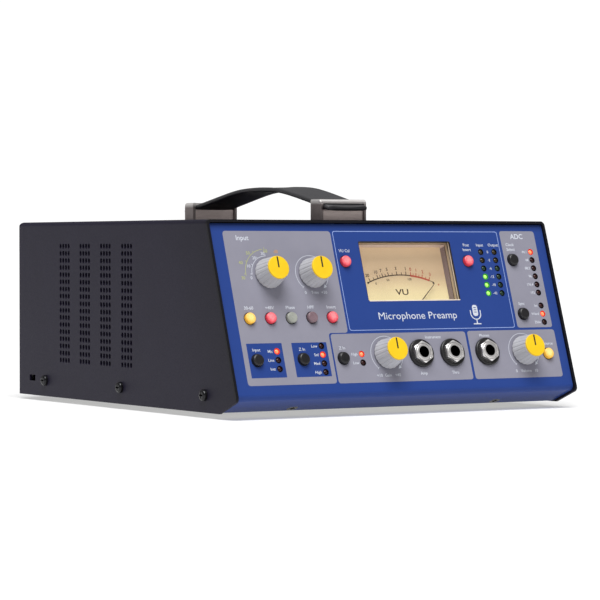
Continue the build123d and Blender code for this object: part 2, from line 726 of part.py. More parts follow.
def meter_movement():
    """Ring magnet with its core, joined by two webs clear of the coil's sweep."""
    low, high = MAGNET
    ring = rod(RING_OUT, low, high) - rod(RING_IN, low - 1, high + 1)
    core = rod(CORE_R, low, high)
    webs = Pos(0, 0, (low + high) / 2) * Box(3.0, 2 * RING_IN + 1, high - low)
    body = ring + core + webs
    return at_pivot(body - rod(STAFF_R + RUNNING, low - 1, high + 1), turned=False)


# ---- jacks ------------------------------------------------------------------------------
REAR_JACK_X = (-92.0, -72.0, -52.0, -32.0)
REAR_JACK_Z = 27.0
JACK_W = 15.0


def on_every_jack(shape):
    """One copy of a jack piece in each front and rear jack."""
    parts = [on_panel(shape, u, v) for u, v in FRONT_JACKS]
    parts += [on_rear(shape, x, REAR_JACK_Z) for x in REAR_JACK_X]
    return joined(parts)


def jack_bodies():
    """Moulded 6.35 mm jack bodies behind the panels."""
    box = Pos(0, 0, (-PANEL_T - 0.1 - JACK_DEPTH) / 2) * Box(
        JACK_W, JACK_W, JACK_DEPTH - PANEL_T - 0.1)
    box = fillet(box.edges().filter_by(Axis.Z), 1.0)
    box -= rod(JACK_THREAD_R + RUNNING, -JACK_SLEEVE - 0.1, 0)
    return on_every_jack(box - rod(JACK_BORE_R, -JACK_BORE_END, 0))


def jack_bushings():
    """Threaded nickel sleeves that line the jacks."""
    sleeve = rod(JACK_THREAD_R, -JACK_SLEEVE, JACK_OUT)
    sleeve = chamfer(sleeve.edges().group_by(Axis.Z)[-1], 0.4)
    return on_every_jack(sleeve - Cylinder(JACK_BORE_R, 60))


def jack_washers():
    """Round black washers under the jack nuts."""
    disc = fillet(rod(7.8, 0, WASHER_T).edges().group_by(Axis.Z)[-1], 0.8)
    return on_every_jack(disc - Cylinder(JACK_THREAD_R + RUNNING, 10))


# ---- rear connectors -------------------------------------------------------------------
INLET_X = 72.0
INLET_Z = 34.0
INLET_BODY = (52.0, 22.0)
INLET_FLANGE = (60.0, 27.0)
INLET_DEPTH = 24.0
INLET_FLANGE_T = 2.4
MAINS_OFFSET = 11.0      # socket towards the middle of the case, rocker outboard
MAINS_HOLE = (24.4, 16.6)
ROCKER_OFFSET = -16.5
ROCKER_HOLE = (12.4, 19.0)
ROCKER_PIVOT = -4.0
ROCKER_TILT = 9.0
XLR_BODY_R = 11.8


def mains_inlet():
    """Mains socket and switch well in one moulding, with three blade contacts."""
    body = Pos(0, 0, -INLET_DEPTH / 2) * Box(*INLET_BODY, INLET_DEPTH)
    body += extrude(RectangleRounded(*INLET_FLANGE, 2.0), INLET_FLANGE_T)
    cavity = extrude(RectangleRounded(*MAINS_HOLE, 2.5), -17) + extrude(
        RectangleRounded(*MAINS_HOLE, 2.5), 5)
    body -= Pos(MAINS_OFFSET, 0, 0) * cavity
    well = Pos(ROCKER_OFFSET, 0, -4) * Box(*ROCKER_HOLE, 18)
    body -= well
    pin = Pos(ROCKER_OFFSET, 0, ROCKER_PIVOT) * Rot(0, 90, 0) * Cylinder(
        1.0, ROCKER_HOLE[0] + 2)
    body += pin
    blade = Pos(0, 0, -11) * Box(2.0, 4.0, 14)
    for x, z in ((-7.0, -2.0), (7.0, -2.0), (0.0, 2.5)):
        body += Pos(MAINS_OFFSET + x, z, 0) * blade
    return on_rear(body, INLET_X, INLET_Z)


def power_rocker():
    """Rocker of the mains switch, tilted to the on side."""
    half = ROCKER_HOLE[1] / 2 - 0.9
    outline = make_face(Polyline(
        (-half, -0.4), (-half, 4.6), (0, 3.4), (half, 4.6), (half, -0.4),
        (2.4, -3.0), (-2.4, -3.0), close=True))
    rocker = extrude(Plane.YZ * outline, (ROCKER_HOLE[0] - 0.8) / 2, both=True)
    rocker -= Rot(0, 90, 0) * Cylinder(1.0 + RUNNING, 30)
    rocker = Rot(ROCKER_TILT, 0, 0) * rocker
    return on_rear(Pos(ROCKER_OFFSET, 0, ROCKER_PIVOT) * rocker, INLET_X, INLET_Z)


def round_connector():
    """Square-flanged round body shared by both three-pin connectors."""
    body = rod(XLR_BODY_R, -22, 0)
    flange = extrude(RectangleRounded(FLANGE_W, FLANGE_H, 2.0), FLANGE_T)
    dx, dz = FLANGE_SCREW
    holes = [Pos(-s * dx, s * dz, 0) * Cylinder(SCREW_SHANK_R + RUNNING, 20) for s in (-1, 1)]
    return body + flange - holes


def pin_spots():
    """The three contacts, two above and one below."""
    return [(4.4 * cos(radians(a)), 4.4 * sin(radians(a))) for a in (30, 150, 270)]


def mic_input_socket():
    """Three-hole microphone input, with a ring groove for the plug's shell."""
    body = round_connector()
    body -= rod(9.6, -14, 5) - rod(8.0, -14, FLANGE_T - 0.4)
    for x, z in pin_spots():
        body -= Pos(x, z, 0) * rod(1.3, -13, 5)
    return on_rear(body, MIC_X, XLR_Z)


def line_output_plug():
    """Three-pin line output: an open shell with its pins."""
    body = round_connector()
    body -= rod(9.3, -15, 5)
    for x, z in pin_spots():
        body += Pos(x, z, 0) * rod(1.2, -16, -2.0)
    return on_rear(body, LINE_X, XLR_Z)


# ---- electronics --------------------------------------------------------------------------
TOROID_X = 62.0
TOROID_Y = 168.0
TOROID_R = 37.0
TOROID_HOLE_R = 11.0
TOROID_H = 34.0


def front_board():
    """Circuit board behind the front panel, cut out round the meter and the jacks."""
    board = on_panel(Box(200, 82, BOARD_T), MIDDLE_U, 50, FRONT_BOARD_H - BOARD_T / 2 - 0.05)
    low_v = METER_V0 - METER_WALL - 0.8
    notch = Box(WINDOW_U[1] - WINDOW_U[0] + 2 * (METER_WALL + 0.8), 100 - low_v, 60)
    board -= on_panel(notch, PIVOT_U, (100 + low_v) / 2, -20)
    u0 = FRONT_JACKS[0][0] - JACK_W / 2 - 1
    u1 = FRONT_JACKS[-1][0] + JACK_W / 2 + 1
    slot = Box(u1 - u0, JACK_W + 2, 60)
    return board - on_panel(slot, (u0 + u1) / 2, FRONT_JACKS[0][1], -20)


def main_board():
    """Main circuit board on four studs of the tray."""
    board = block(BOARD_X, BOARD_Y, (BOARD_Z, BOARD_Z + BOARD_T))
    return board - [Pos(x, y, BOARD_Z) * Cylinder(1.7, 10) for x, y in board_screw_spots()]


def mains_transformer():
    """Ring-shaped mains transformer."""
    ring = rod(TOROID_R, SHEET + 1, SHEET + 1 + TOROID_H) - Cylinder(TOROID_HOLE_R, 200)
    ring = fillet(ring.edges(), 6.0)
    return Pos(TOROID_X, TOROID_Y, 0) * ring


def transformer_clamp():
    """Dished washer and bolt that hold the mains transformer down."""
    top = SHEET + 1 + TOROID_H
    washer = rod(21.0, top, top + 1.5) + rod(TOROID_HOLE_R - 1.0, top - 6, top)
    bolt = rod(3.0, -0.9, top + 1.5) + rod(5.5, top + 1.5, top + 5.5) + rod(5.5, -1.5, 0)
    return Pos(TOROID_X, TOROID_Y, 0) * (washer + bolt)


def input_transformer():
    """Screened microphone input transformer in its can."""
    can = block((-88, -58), (170, 198), (BOARD_Z + BOARD_T, BOARD_Z + BOARD_T + 24))
    can = fillet(can.edges().filter_by(Axis.Z), 3.0)
    return fillet(can.faces().sort_by(Axis.Z)[-1].edges(), 1.5)


# ---- write every part -------------------------------------------------------------------
def build_parts():
    """Every named part of the preamplifier, in case coordinates."""
    parts = {
        "top_cover": top_cover(), "chassis_tray": chassis_tray(), "rear_panel": rear_panel(),
        "front_panel": front_panel(), "converter_card_panel": converter_card_panel(),
        "rubber_feet": rubber_feet(), "case_screws": case_screws(),
        "handle_strap": handle_strap(), "handle_caps": handle_caps(),
        "handle_saddles": handle_saddles(), "handle_screws": handle_screws(),
        "potentiometers": potentiometers(), "gain_rotary_switch": gain_rotary_switch(),
        "panel_nuts": panel_nuts(), "push_switches": push_switches(),
        "level_leds": led_group(LEVEL_LEDS), "status_leds": led_group(STATUS_LEDS),
        "meter_housing": meter_housing(), "meter_window": meter_window(),
        "meter_dial": meter_dial(), "meter_needle": meter_needle(),
        "meter_coil": meter_coil(), "meter_movement": meter_movement(),
        "jack_bodies": jack_bodies(), "jack_bushings": jack_bushings(),
        "jack_washers": jack_washers(), "mains_inlet": mains_inlet(),
        "power_rocker": power_rocker(), "mic_input_socket": mic_input_socket(),
        "line_output_plug": line_output_plug(), "front_board": front_board(),
        "main_board": main_board(), "mains_transformer": mains_transformer(),
        "transformer_clamp": transformer_clamp(), "input_transformer": input_transformer(),
    }
    for name, (u, v) in KNOBS.items():
        parts[name + "_knob"] = on_panel(knob(), u, v)
        parts[name + "_knob_cap"] = on_panel(knob_cap(), u, v)
        parts[name + "_shaft"] = on_panel(shaft(), u, v)
    for name, (u, v) in LIT_BUTTONS.items():
        parts[name + "_button"] = on_panel(lit_button(), u, v)
    for name, (u, v) in BLACK_BUTTONS.items():
        parts[name + "_button"] = on_panel(black_button(), u, v)
    return parts


os.makedirs("parts", exist_ok=True)
for part_name, part_shape in build_parts().items():
    export_step(place(part_shape), f"parts/{part_name}.step")
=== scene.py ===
import json
import math
import bmesh
import bpy
from mathutils import Matrix, Vector


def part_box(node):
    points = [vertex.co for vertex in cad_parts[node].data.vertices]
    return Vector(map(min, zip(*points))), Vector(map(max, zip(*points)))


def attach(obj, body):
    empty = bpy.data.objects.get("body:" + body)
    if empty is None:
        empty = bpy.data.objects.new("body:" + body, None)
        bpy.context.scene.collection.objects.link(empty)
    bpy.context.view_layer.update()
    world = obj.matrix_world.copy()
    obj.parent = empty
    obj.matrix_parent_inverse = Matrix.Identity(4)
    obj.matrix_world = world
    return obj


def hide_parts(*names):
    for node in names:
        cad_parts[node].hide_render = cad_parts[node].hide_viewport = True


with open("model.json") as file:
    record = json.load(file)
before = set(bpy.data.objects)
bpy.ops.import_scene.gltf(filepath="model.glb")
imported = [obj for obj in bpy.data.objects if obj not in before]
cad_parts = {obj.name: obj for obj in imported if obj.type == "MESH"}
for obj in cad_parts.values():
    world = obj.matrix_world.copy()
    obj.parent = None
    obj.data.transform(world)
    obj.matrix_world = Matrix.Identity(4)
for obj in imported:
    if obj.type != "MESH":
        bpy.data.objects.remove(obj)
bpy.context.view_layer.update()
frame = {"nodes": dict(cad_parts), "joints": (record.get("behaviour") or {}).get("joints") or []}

# Looks of a desktop microphone preamplifier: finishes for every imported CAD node, the
# panel's printing, the dial, the lamps that are lit and the moulded strap.
# Lengths are in metres, except on the sloped panel and its dial, which are laid out in
# millimetres: U to the right and V up from the left end of the nose, H out of the face.

MM = 0.001
JOINTS = {joint["name"]: joint for joint in frame["joints"]}

# ---- panel layout, in millimetres ---------------------------------------------------
GAIN = (32.0, 68.3)
TRIM = (59.2, 68.3)
INSTRUMENT = (97.6, 22.6)
PHONES = (189.0, 22.6)
CONTROLS = {"gain": GAIN, "trim": TRIM, "instrument": INSTRUMENT, "phones": PHONES}
LIT_ROW = [(15.8 + 12.8 * i, 43.7) for i in range(5)]
METER_CAL = (81.7, 74.9)
POST_INSERT = (162.6, 74.9)
PHONES_SOURCE = (205.2, 20.6)
LIT_BUTTONS = LIT_ROW + [METER_CAL, POST_INSERT, PHONES_SOURCE]
BLACK_BUTTONS = [(16.2, 20.9), (44.5, 20.9), (69.5, 20.9), (193.5, 75.5), (193.5, 43.9)]
FRONT_JACKS = [(119.8, 22.6), (140.3, 22.6), (163.8, 22.6)]
LAMP_PITCH = 4.8
LEVEL_U = (172.7, 181.9)
LEVEL_COLUMNS = [(u, 56.3, 6) for u in LEVEL_U]     # U, lowest V and how many
LEVEL_GREEN = 4         # green lamps of each level column, from below
LEVEL_LIT = 3           # lit lamps of the first level column, from below
CLOCK_LAMPS = (207.2, 56.3, 6)
SYNC_LAMPS = (207.2, 39.1, 3)
INPUT_LAMPS = (29.1, 16.1, 3)
IMPEDANCE_LAMPS = (57.1, 13.7, 4)
INSTRUMENT_LAMPS = (81.6, 18.3, 2)
STATUS_COLUMNS = [CLOCK_LAMPS, SYNC_LAMPS, INPUT_LAMPS, IMPEDANCE_LAMPS, INSTRUMENT_LAMPS]
STATUS_LIT = [5, 1, 2, 2, 1]        # which lamp of each column is lit, from below
WINDOW_U = (92.3, 152.9)
WINDOW_V = (52.5, 86.5)
DIAL_H = -10.0
DIAL_CENTRE = (122.6, 14.4)
DIAL_R = 56.0
HOLE_LIT = 3.45         # radii of the panel's holes
HOLE_BLACK = 3.65
HOLE_LAMP = 1.8
HOLE_JACK = 4.8
HOLE_CONTROL = 3.65
LAMP_REACH = 2.2        # more than any face of a lamp is from its middle
AREA_H = 0.02           # middle height of the grey areas, then of the lettering on them
INK_H = 0.045
INK_T = 0.02            # thickness of both

RIGHT = Vector((1, 0, 0))
OUT = Vector(JOINTS["gain_turn"]["axis"]).normalized()
UP = OUT.cross(RIGHT)
PANEL_ZERO = Vector(JOINTS["gain_turn"]["pos_m"]) - (RIGHT * GAIN[0] + UP * GAIN[1]) * MM
PANEL = Matrix.Translation(PANEL_ZERO) @ Matrix((RIGHT, UP, OUT)).transposed().to_4x4()


def lamp_column(u, low_v, count):
    """Panel spots of one column of lamps, from the lowest up."""
    return [(u, low_v + LAMP_PITCH * i) for i in range(count)]


def every_lamp():
    """Panel spots of all the lamps."""
    return [spot for column in LEVEL_COLUMNS + STATUS_COLUMNS for spot in lamp_column(*column)]


def lit_spots():
    """Panel spots of the lit lamps: the green ones, then the red ones."""
    red = [lamp_column(*column)[lit] for column, lit in zip(STATUS_COLUMNS, STATUS_LIT)]
    return lamp_column(*LEVEL_COLUMNS[0])[:LEVEL_LIT], red


# ---- node helpers -------------------------------------------------------------------
def shader(name, **fixed):
    """New material whose Principled shader has these fixed values."""
    material = bpy.data.materials.new(name)
    material.use_nodes = True
    principled = material.node_tree.nodes["Principled BSDF"]
    for key, value in fixed.items():
        principled.inputs[key.replace("_", " ")].default_value = value
    return material, material.node_tree, principled


def object_coords(tree, stretch=(1, 1, 1)):
    """Object coordinates in metres, stretched along each axis."""
    coords = tree.nodes.new("ShaderNodeTexCoord")
    mapping = tree.nodes.new("ShaderNodeMapping")
    mapping.inputs["Scale"].default_value = stretch
    tree.links.new(coords.outputs["Object"], mapping.inputs["Vector"])
    return mapping.outputs["Vector"]


def noise(tree, vector, scale, detail=2.0, rough=0.5):
    """Noise value between 0 and 1."""
    node = tree.nodes.new("ShaderNodeTexNoise")
    node.inputs["Scale"].default_value = scale
    node.inputs["Detail"].default_value = detail
    node.inputs["Roughness"].default_value = rough
    tree.links.new(vector, node.inputs["Vector"])
    return node.outputs["Fac"]


def cells(tree, vector, scale):
    """Distance inside rounded cells, for spangle and flake."""
    node = tree.nodes.new("ShaderNodeTexVoronoi")
    node.inputs["Scale"].default_value = scale
    tree.links.new(vector, node.inputs["Vector"])
    return node.outputs["Distance"]


def between(tree, factor, low, high, low_out, high_out):
    """Maps a value from one range to another, clamped."""
    node = tree.nodes.new("ShaderNodeMapRange")
    for key, value in (("From Min", low), ("From Max", high),
                       ("To Min", low_out), ("To Max", high_out)):
        node.inputs[key].default_value = value
    tree.links.new(factor, node.inputs["Value"])
    return node.outputs["Result"]


def blend(tree, factor, first, second):
    """Colour between two by a factor, where each is a fixed colour or a node's output."""
    node = tree.nodes.new("ShaderNodeMix")
    node.data_type = "RGBA"
    for key, colour in (("A", first), ("B", second)):
        if isinstance(colour, tuple):
            node.inputs[key].default_value = (*colour, 1)
        else:
            tree.links.new(colour, node.inputs[key])
    tree.links.new(factor, node.inputs["Factor"])
    return node.outputs["Result"]


def bump(tree, principled, height, distance, strength=0.6):
    """Bumps the shader by a height value; distance is the full height in metres."""
    node = tree.nodes.new("ShaderNodeBump")
    node.inputs["Strength"].default_value = strength
    node.inputs["Distance"].default_value = distance
    tree.links.new(height, node.inputs["Height"])
    tree.links.new(node.outputs["Normal"], principled.inputs["Normal"])


def along(tree, coords, axis):
    """Distance from the panel's zero along a direction, in metres."""
    node = tree.nodes.new("ShaderNodeVectorMath")
    node.operation = "DOT_PRODUCT"
    node.inputs[1].default_value = axis
    tree.links.new(coords, node.inputs[0])
    drop = tree.nodes.new("ShaderNodeMath")
    drop.operation = "SUBTRACT"
    drop.inputs[1].default_value = axis.dot(PANEL_ZERO)
    tree.links.new(node.outputs["Value"], drop.inputs[0])
    return drop.outputs["Value"]


def heights(tree, coords):
    """Height above the floor, in metres."""
    split = tree.nodes.new("ShaderNodeSeparateXYZ")
    tree.links.new(coords, split.inputs["Vector"])
    return split.outputs["Z"]


def total(tree, first, second, factor=1.0):
    """One value times a fixed factor, plus another."""
    node = tree.nodes.new("ShaderNodeMath")
    node.operation = "MULTIPLY_ADD"
    node.inputs[1].default_value = factor
    tree.links.new(first, node.inputs[0])
    tree.links.new(second, node.inputs[2])
    return node.outputs["Value"]


def mottled(name, first, second, rough_low, rough_high, grain, depth, patch=60.0, **fixed):
    """A finish with soft colour patches, uneven gloss and a fine surface grain."""
    material, tree, principled = shader(name, **fixed)
    coords = object_coords(tree)
    patches = noise(tree, coords, patch, 4.0, 0.6)
    fine = noise(tree, coords, grain, 3.0, 0.6)
    tint = between(tree, patches, 0.3, 0.7, 0.0, 1.0)
    gloss = between(tree, fine, 0.3, 0.7, rough_low, rough_high)
    tree.links.new(blend(tree, tint, first, second), principled.inputs["Base Color"])
    tree.links.new(gloss, principled.inputs["Roughness"])
    bump(tree, principled, fine, depth)
    return material


# ---- finishes -----------------------------------------------------------------------
def black_powder_coat():
    """Satin black powder coat with its orange peel, with painted shade that darkens it towards the
    front and blackens its front edges.
    """
    material, tree, principled = shader("satin_black_powder_coat", Specular_IOR_Level=0.2)
    coords = object_coords(tree)
    patches = noise(tree, coords, 60.0, 4.0, 0.6)
    fine = noise(tree, coords, 1500.0, 3.0, 0.6)
    coat = blend(tree, patches, (0.0085, 0.0068, 0.0175), (0.0128, 0.0105, 0.0245))
    # painted shade: the coat darkens towards the front, standing for the shade there
    height = along(tree, coords, OUT)
    painted_front_shade = between(tree, height, -0.045, -0.002, 0.0, 0.45)
    # painted shade: the front edge faces turn near black, standing for the dark reflection they
    # show
    edge = between(tree, height, -0.0006, 0.0004, 0.0, 1.0)
    shaded = blend(tree, painted_front_shade, coat, (0.0035, 0.003, 0.0075))
    tree.links.new(blend(tree, edge, shaded, (0.003, 0.003, 0.0055)),
                   principled.inputs["Base Color"])
    tree.links.new(between(tree, fine, 0.3, 0.7, 0.42, 0.56), principled.inputs["Roughness"])
    bump(tree, principled, fine, 0.00006)
    return material


def blue_paint():
    """Satin blue paint with a fine even grain, with painted shadow under the cover's top edge."""
    material, tree, principled = shader("satin_blue_paint", Specular_IOR_Level=0.13)
    coords = object_coords(tree)
    patches = noise(tree, coords, 60.0, 4.0, 0.6)
    fine = noise(tree, coords, 2600.0, 3.0, 0.6)
    paint = blend(tree, patches, (0.0185, 0.0465, 0.203), (0.0215, 0.0515, 0.219))
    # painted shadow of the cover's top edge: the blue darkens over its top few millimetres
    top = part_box("top_cover")[1].z
    shade = between(tree, heights(tree, coords), top - 0.0062, top - 0.0018, 0.0, 0.62)
    tree.links.new(blend(tree, shade, paint, (0.002, 0.004, 0.02)),
                   principled.inputs["Base Color"])
    tree.links.new(between(tree, fine, 0.3, 0.7, 0.32, 0.42), principled.inputs["Roughness"])
    bump(tree, principled, fine, 0.00002)
    return material


def grey_ink():
    """Grey screen-printed areas."""
    return mottled("grey_print", (0.220, 0.217, 0.266), (0.236, 0.232, 0.282),
                   0.42, 0.52, 2600.0, 0.00002, Specular_IOR_Level=0.3)


def ink(name, colour):
    """Opaque screen-printing ink with slight unevenness."""
    darker = tuple(0.86 * c for c in colour)
    return mottled(name, darker, colour, 0.4, 0.55, 4000.0, 0.00001, 900.0)


def zinc_plate():
    """Zinc plate with its soft spangle."""
    material, tree, principled = shader("zinc_plate", Metallic=1.0)
    coords = object_coords(tree)
    spangle = cells(tree, coords, 160.0)
    fine = noise(tree, coords, 900.0, 4.0)
    colour = blend(tree, spangle, (0.5, 0.5, 0.49), (0.66, 0.66, 0.64))
    tree.links.new(colour, principled.inputs["Base Color"])
    tree.links.new(between(tree, fine, 0.3, 0.7, 0.28, 0.42), principled.inputs["Roughness"])
    bump(tree, principled, fine, 0.00003)
    return material


def brushed_nickel(name, dark, light):
    """Warm satin nickel, brushed across the case, with a painted highlight along its top edges."""
    material, tree, principled = shader(name, Metallic=1.0)
    coords = object_coords(tree)
    lines = noise(tree, object_coords(tree, (0.03, 1, 1)), 5200.0, 3.0, 0.7)
    patches = noise(tree, coords, 90.0, 3.0)
    colour = blend(tree, between(tree, lines, 0.25, 0.75, 0, 1), dark, light)
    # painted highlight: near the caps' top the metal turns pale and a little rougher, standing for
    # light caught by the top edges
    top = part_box("handle_caps")[1].z
    painted_top_highlight = between(tree, heights(tree, coords), top - 0.0030, top - 0.0008, 0.0, 1.0)
    tree.links.new(blend(tree, painted_top_highlight, colour, (0.93, 0.90, 0.88)),
                   principled.inputs["Base Color"])
    satin = between(tree, patches, 0.3, 0.7, 0.28, 0.38)
    tree.links.new(total(tree, painted_top_highlight, satin, 0.16), principled.inputs["Roughness"])
    bump(tree, principled, lines, 0.00004, 0.5)
    return material


def bright_nickel():
    """Bright nickel plate with light tool marks."""
    material, tree, principled = shader("bright_nickel", Metallic=1.0)
    coords = object_coords(tree)
    marks = noise(tree, object_coords(tree, (1, 0.08, 1)), 3600.0, 3.0, 0.7)
    haze = noise(tree, coords, 220.0, 3.0)
    colour = blend(tree, haze, (0.84, 0.82, 0.81), (0.95, 0.93, 0.92))
    tree.links.new(colour, principled.inputs["Base Color"])
    tree.links.new(between(tree, haze, 0.3, 0.7, 0.34, 0.46), principled.inputs["Roughness"])
    bump(tree, principled, marks, 0.00002, 0.5)
    return material


def jack_sleeve():
    """Nickel ends of the jacks' sleeves, with painted shade that makes the round bores black
    inside.
    """
    material, tree, principled = shader("jack_sleeve_nickel", Metallic=1.0, Roughness=0.4)
    coords = object_coords(tree)
    points = [point.co for point in frame["nodes"]["jack_bushings"].data.vertices]
    painted_shade_below, bright_above = 0.0004, 0.0003      # both back from the sleeve's end
    ends = []
    for way in (OUT, Vector((0, 1, 0))):
        end = max((point - PANEL_ZERO).dot(way) for point in points)
        place = along(tree, coords, way)
        ends.append(between(tree, place, end - painted_shade_below, end - bright_above, 0.0, 1.0))
    # painted shade: the nickel turns black just inside the sleeve's end, standing for the dark
    # inside of the bore
    colour = blend(tree, total(tree, *ends), (0.003, 0.003, 0.003), (0.90, 0.88, 0.87))
    tree.links.new(colour, principled.inputs["Base Color"])
    return material


def strap_vinyl():
    """Moulded black strap with a leather-like grain."""
    material, tree, principled = shader("strap_grain", Specular_IOR_Level=0.7)
    coords = object_coords(tree)
    pebbles = cells(tree, coords, 1400.0)
    patches = noise(tree, coords, 55.0, 4.0)
    colour = blend(tree, patches, (0.012, 0.012, 0.014), (0.030, 0.029, 0.033))
    tree.links.new(colour, principled.inputs["Base Color"])
    tree.links.new(between(tree, patches, 0.3, 0.7, 0.42, 0.56), principled.inputs["Roughness"])
    bump(tree, principled, pebbles, 0.00012, 0.7)
    return material


def plastic(name, first, second, rough, depth=0.00003, **fixed):
    """Moulded plastic with a fine spark-eroded grain."""
    return mottled(name, first, second, rough - 0.05, rough + 0.07, 2200.0, depth, 120.0, **fixed)


def copper_winding():
    """Fine enamelled copper wire."""
    material, tree, principled = shader("enamelled_copper", Metallic=1.0)
    strands = noise(tree, object_coords(tree, (1, 1, 12)), 900.0, 2.0)
    colour = blend(tree, strands, (0.42, 0.16, 0.07), (0.75, 0.36, 0.2))
    tree.links.new(colour, principled.inputs["Base Color"])
    tree.links.new(between(tree, strands, 0.3, 0.7, 0.25, 0.45), principled.inputs["Roughness"])
    bump(tree, principled, strands, 0.00005)
    return material


def window_acrylic():
    """Clear acrylic that mirrors a little at its surface."""
    material, tree, principled = shader("clear_acrylic", Roughness=0.04, IOR=1.49)
    principled.inputs["Base Color"].default_value = (0.2, 0.19, 0.17, 1)
    smear = noise(tree, object_coords(tree), 40.0, 5.0)
    tree.links.new(between(tree, smear, 0.35, 0.75, 0.03, 0.07), principled.inputs["Alpha"])
    return material


def meter_moulding():
    """Cream rim of the meter's case, a dark line, and mauve walls with painted light near the
    window's top, where the top wall catches light from the dial.
    """
    material, tree, principled = shader("meter_case_plastic", Roughness=0.35)
    coords = object_coords(tree)
    grain = noise(tree, coords, 500.0, 3.0)
    depth = along(tree, coords, OUT)
    rim = blend(tree, grain, (0.46, 0.35, 0.24), (0.56, 0.44, 0.31))
    past_rim = between(tree, depth, -0.0053, -0.0050, 1.0, 0.0)
    lined = blend(tree, past_rim, rim, (0.045, 0.022, 0.015))
    past_line = between(tree, depth, -0.0060, -0.0056, 1.0, 0.0)
    mauve_wall = blend(tree, past_line, lined, (0.26, 0.195, 0.215))
    # painted light: a pale copy of the mauve wall, used near the window's top for the light the top
    # wall gets from the dial
    painted_lit_wall = blend(tree, past_line, lined, (0.80, 0.66, 0.62))
    top = WINDOW_V[1] * MM
    painted_light_near_top = between(tree, along(tree, coords, UP), top - 0.0012, top - 0.0004, 0.0, 1.0)
    tree.links.new(blend(tree, painted_light_near_top, mauve_wall, painted_lit_wall),
                   principled.inputs["Base Color"])
    bump(tree, principled, grain, 0.00003)
    return material


def dial_card():
    """Warm dial card, pale below and tan above, with painted light: it glows in its own colour,
    more towards its top to make up for the case's shade.
    """
    material, tree, principled = shader("lit_dial_card", Roughness=0.6)
    low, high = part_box("meter_dial")
    coords = object_coords(tree)
    height = heights(tree, coords)
    rise = between(tree, height, low.z + 0.017, low.z + 0.036, 0.0, 1.0)
    lift = total(tree, noise(tree, coords, 70.0, 3.0), rise, 0.16)
    colour = blend(tree, lift, (0.88, 0.77, 0.42), (0.46, 0.33, 0.20))
    tree.links.new(colour, principled.inputs["Base Color"])
    # painted light: the card glows in its own colour, more towards its top where the case shades it
    tree.links.new(colour, principled.inputs["Emission Color"])
    tree.links.new(between(tree, height, high.z - 0.018, high.z - 0.003, 0.3, 0.75),
                   principled.inputs["Emission Strength"])
    return material


def glowing_lens(name, node, edge, heart, strength):
    """Lit translucent button, brightest at its middle, with a mottled diffuser."""
    material, tree, principled = shader(name, Roughness=0.24)
    low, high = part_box(node)
    tip = (low + high) / 2 + OUT * 0.0055
    heart_r, edge_r = 0.0013, 0.0033
    coords = object_coords(tree)
    away = tree.nodes.new("ShaderNodeVectorMath")
    away.operation = "DISTANCE"
    away.inputs[1].default_value = tip
    tree.links.new(coords, away.inputs[0])
    speck = noise(tree, coords, 900.0, 3.0, 0.65)
    shade = total(tree, between(tree, speck, 0.36, 0.64, -0.14, 0.26),
                  between(tree, away.outputs["Value"], heart_r, edge_r, 0.0, 1.0))
    colour = blend(tree, shade, heart, edge)
    tree.links.new(colour, principled.inputs["Base Color"])
    tree.links.new(colour, principled.inputs["Emission Color"])
    principled.inputs["Emission Strength"].default_value = strength
    bump(tree, principled, speck, 0.00003, 0.5)
    return material


def lit_lamp(name, edge, core, strength):
    """Lit lamp: saturated down its sides and pale at its tip."""
    material, tree, principled = shader(name, Roughness=0.12)
    coords = object_coords(tree)
    side = between(tree, along(tree, coords, OUT), -0.0008, 0.0003, 1.0, 0.0)
    shade = total(tree, noise(tree, coords, 1500.0, 2.0), side, 0.15)
    shade = blend(tree, shade, core, edge)
    tree.links.new(shade, principled.inputs["Base Color"])
    tree.links.new(shade, principled.inputs["Emission Color"])
    principled.inputs["Emission Strength"].default_value = strength
    return material


def dark_lamp(name, first, second):
    """Unlit tinted lamp with its glossy clear skin."""
    return mottled(name, first, second, 0.2, 0.3, 700.0, 0.00001, 500.0, Specular_IOR_Level=0.3)


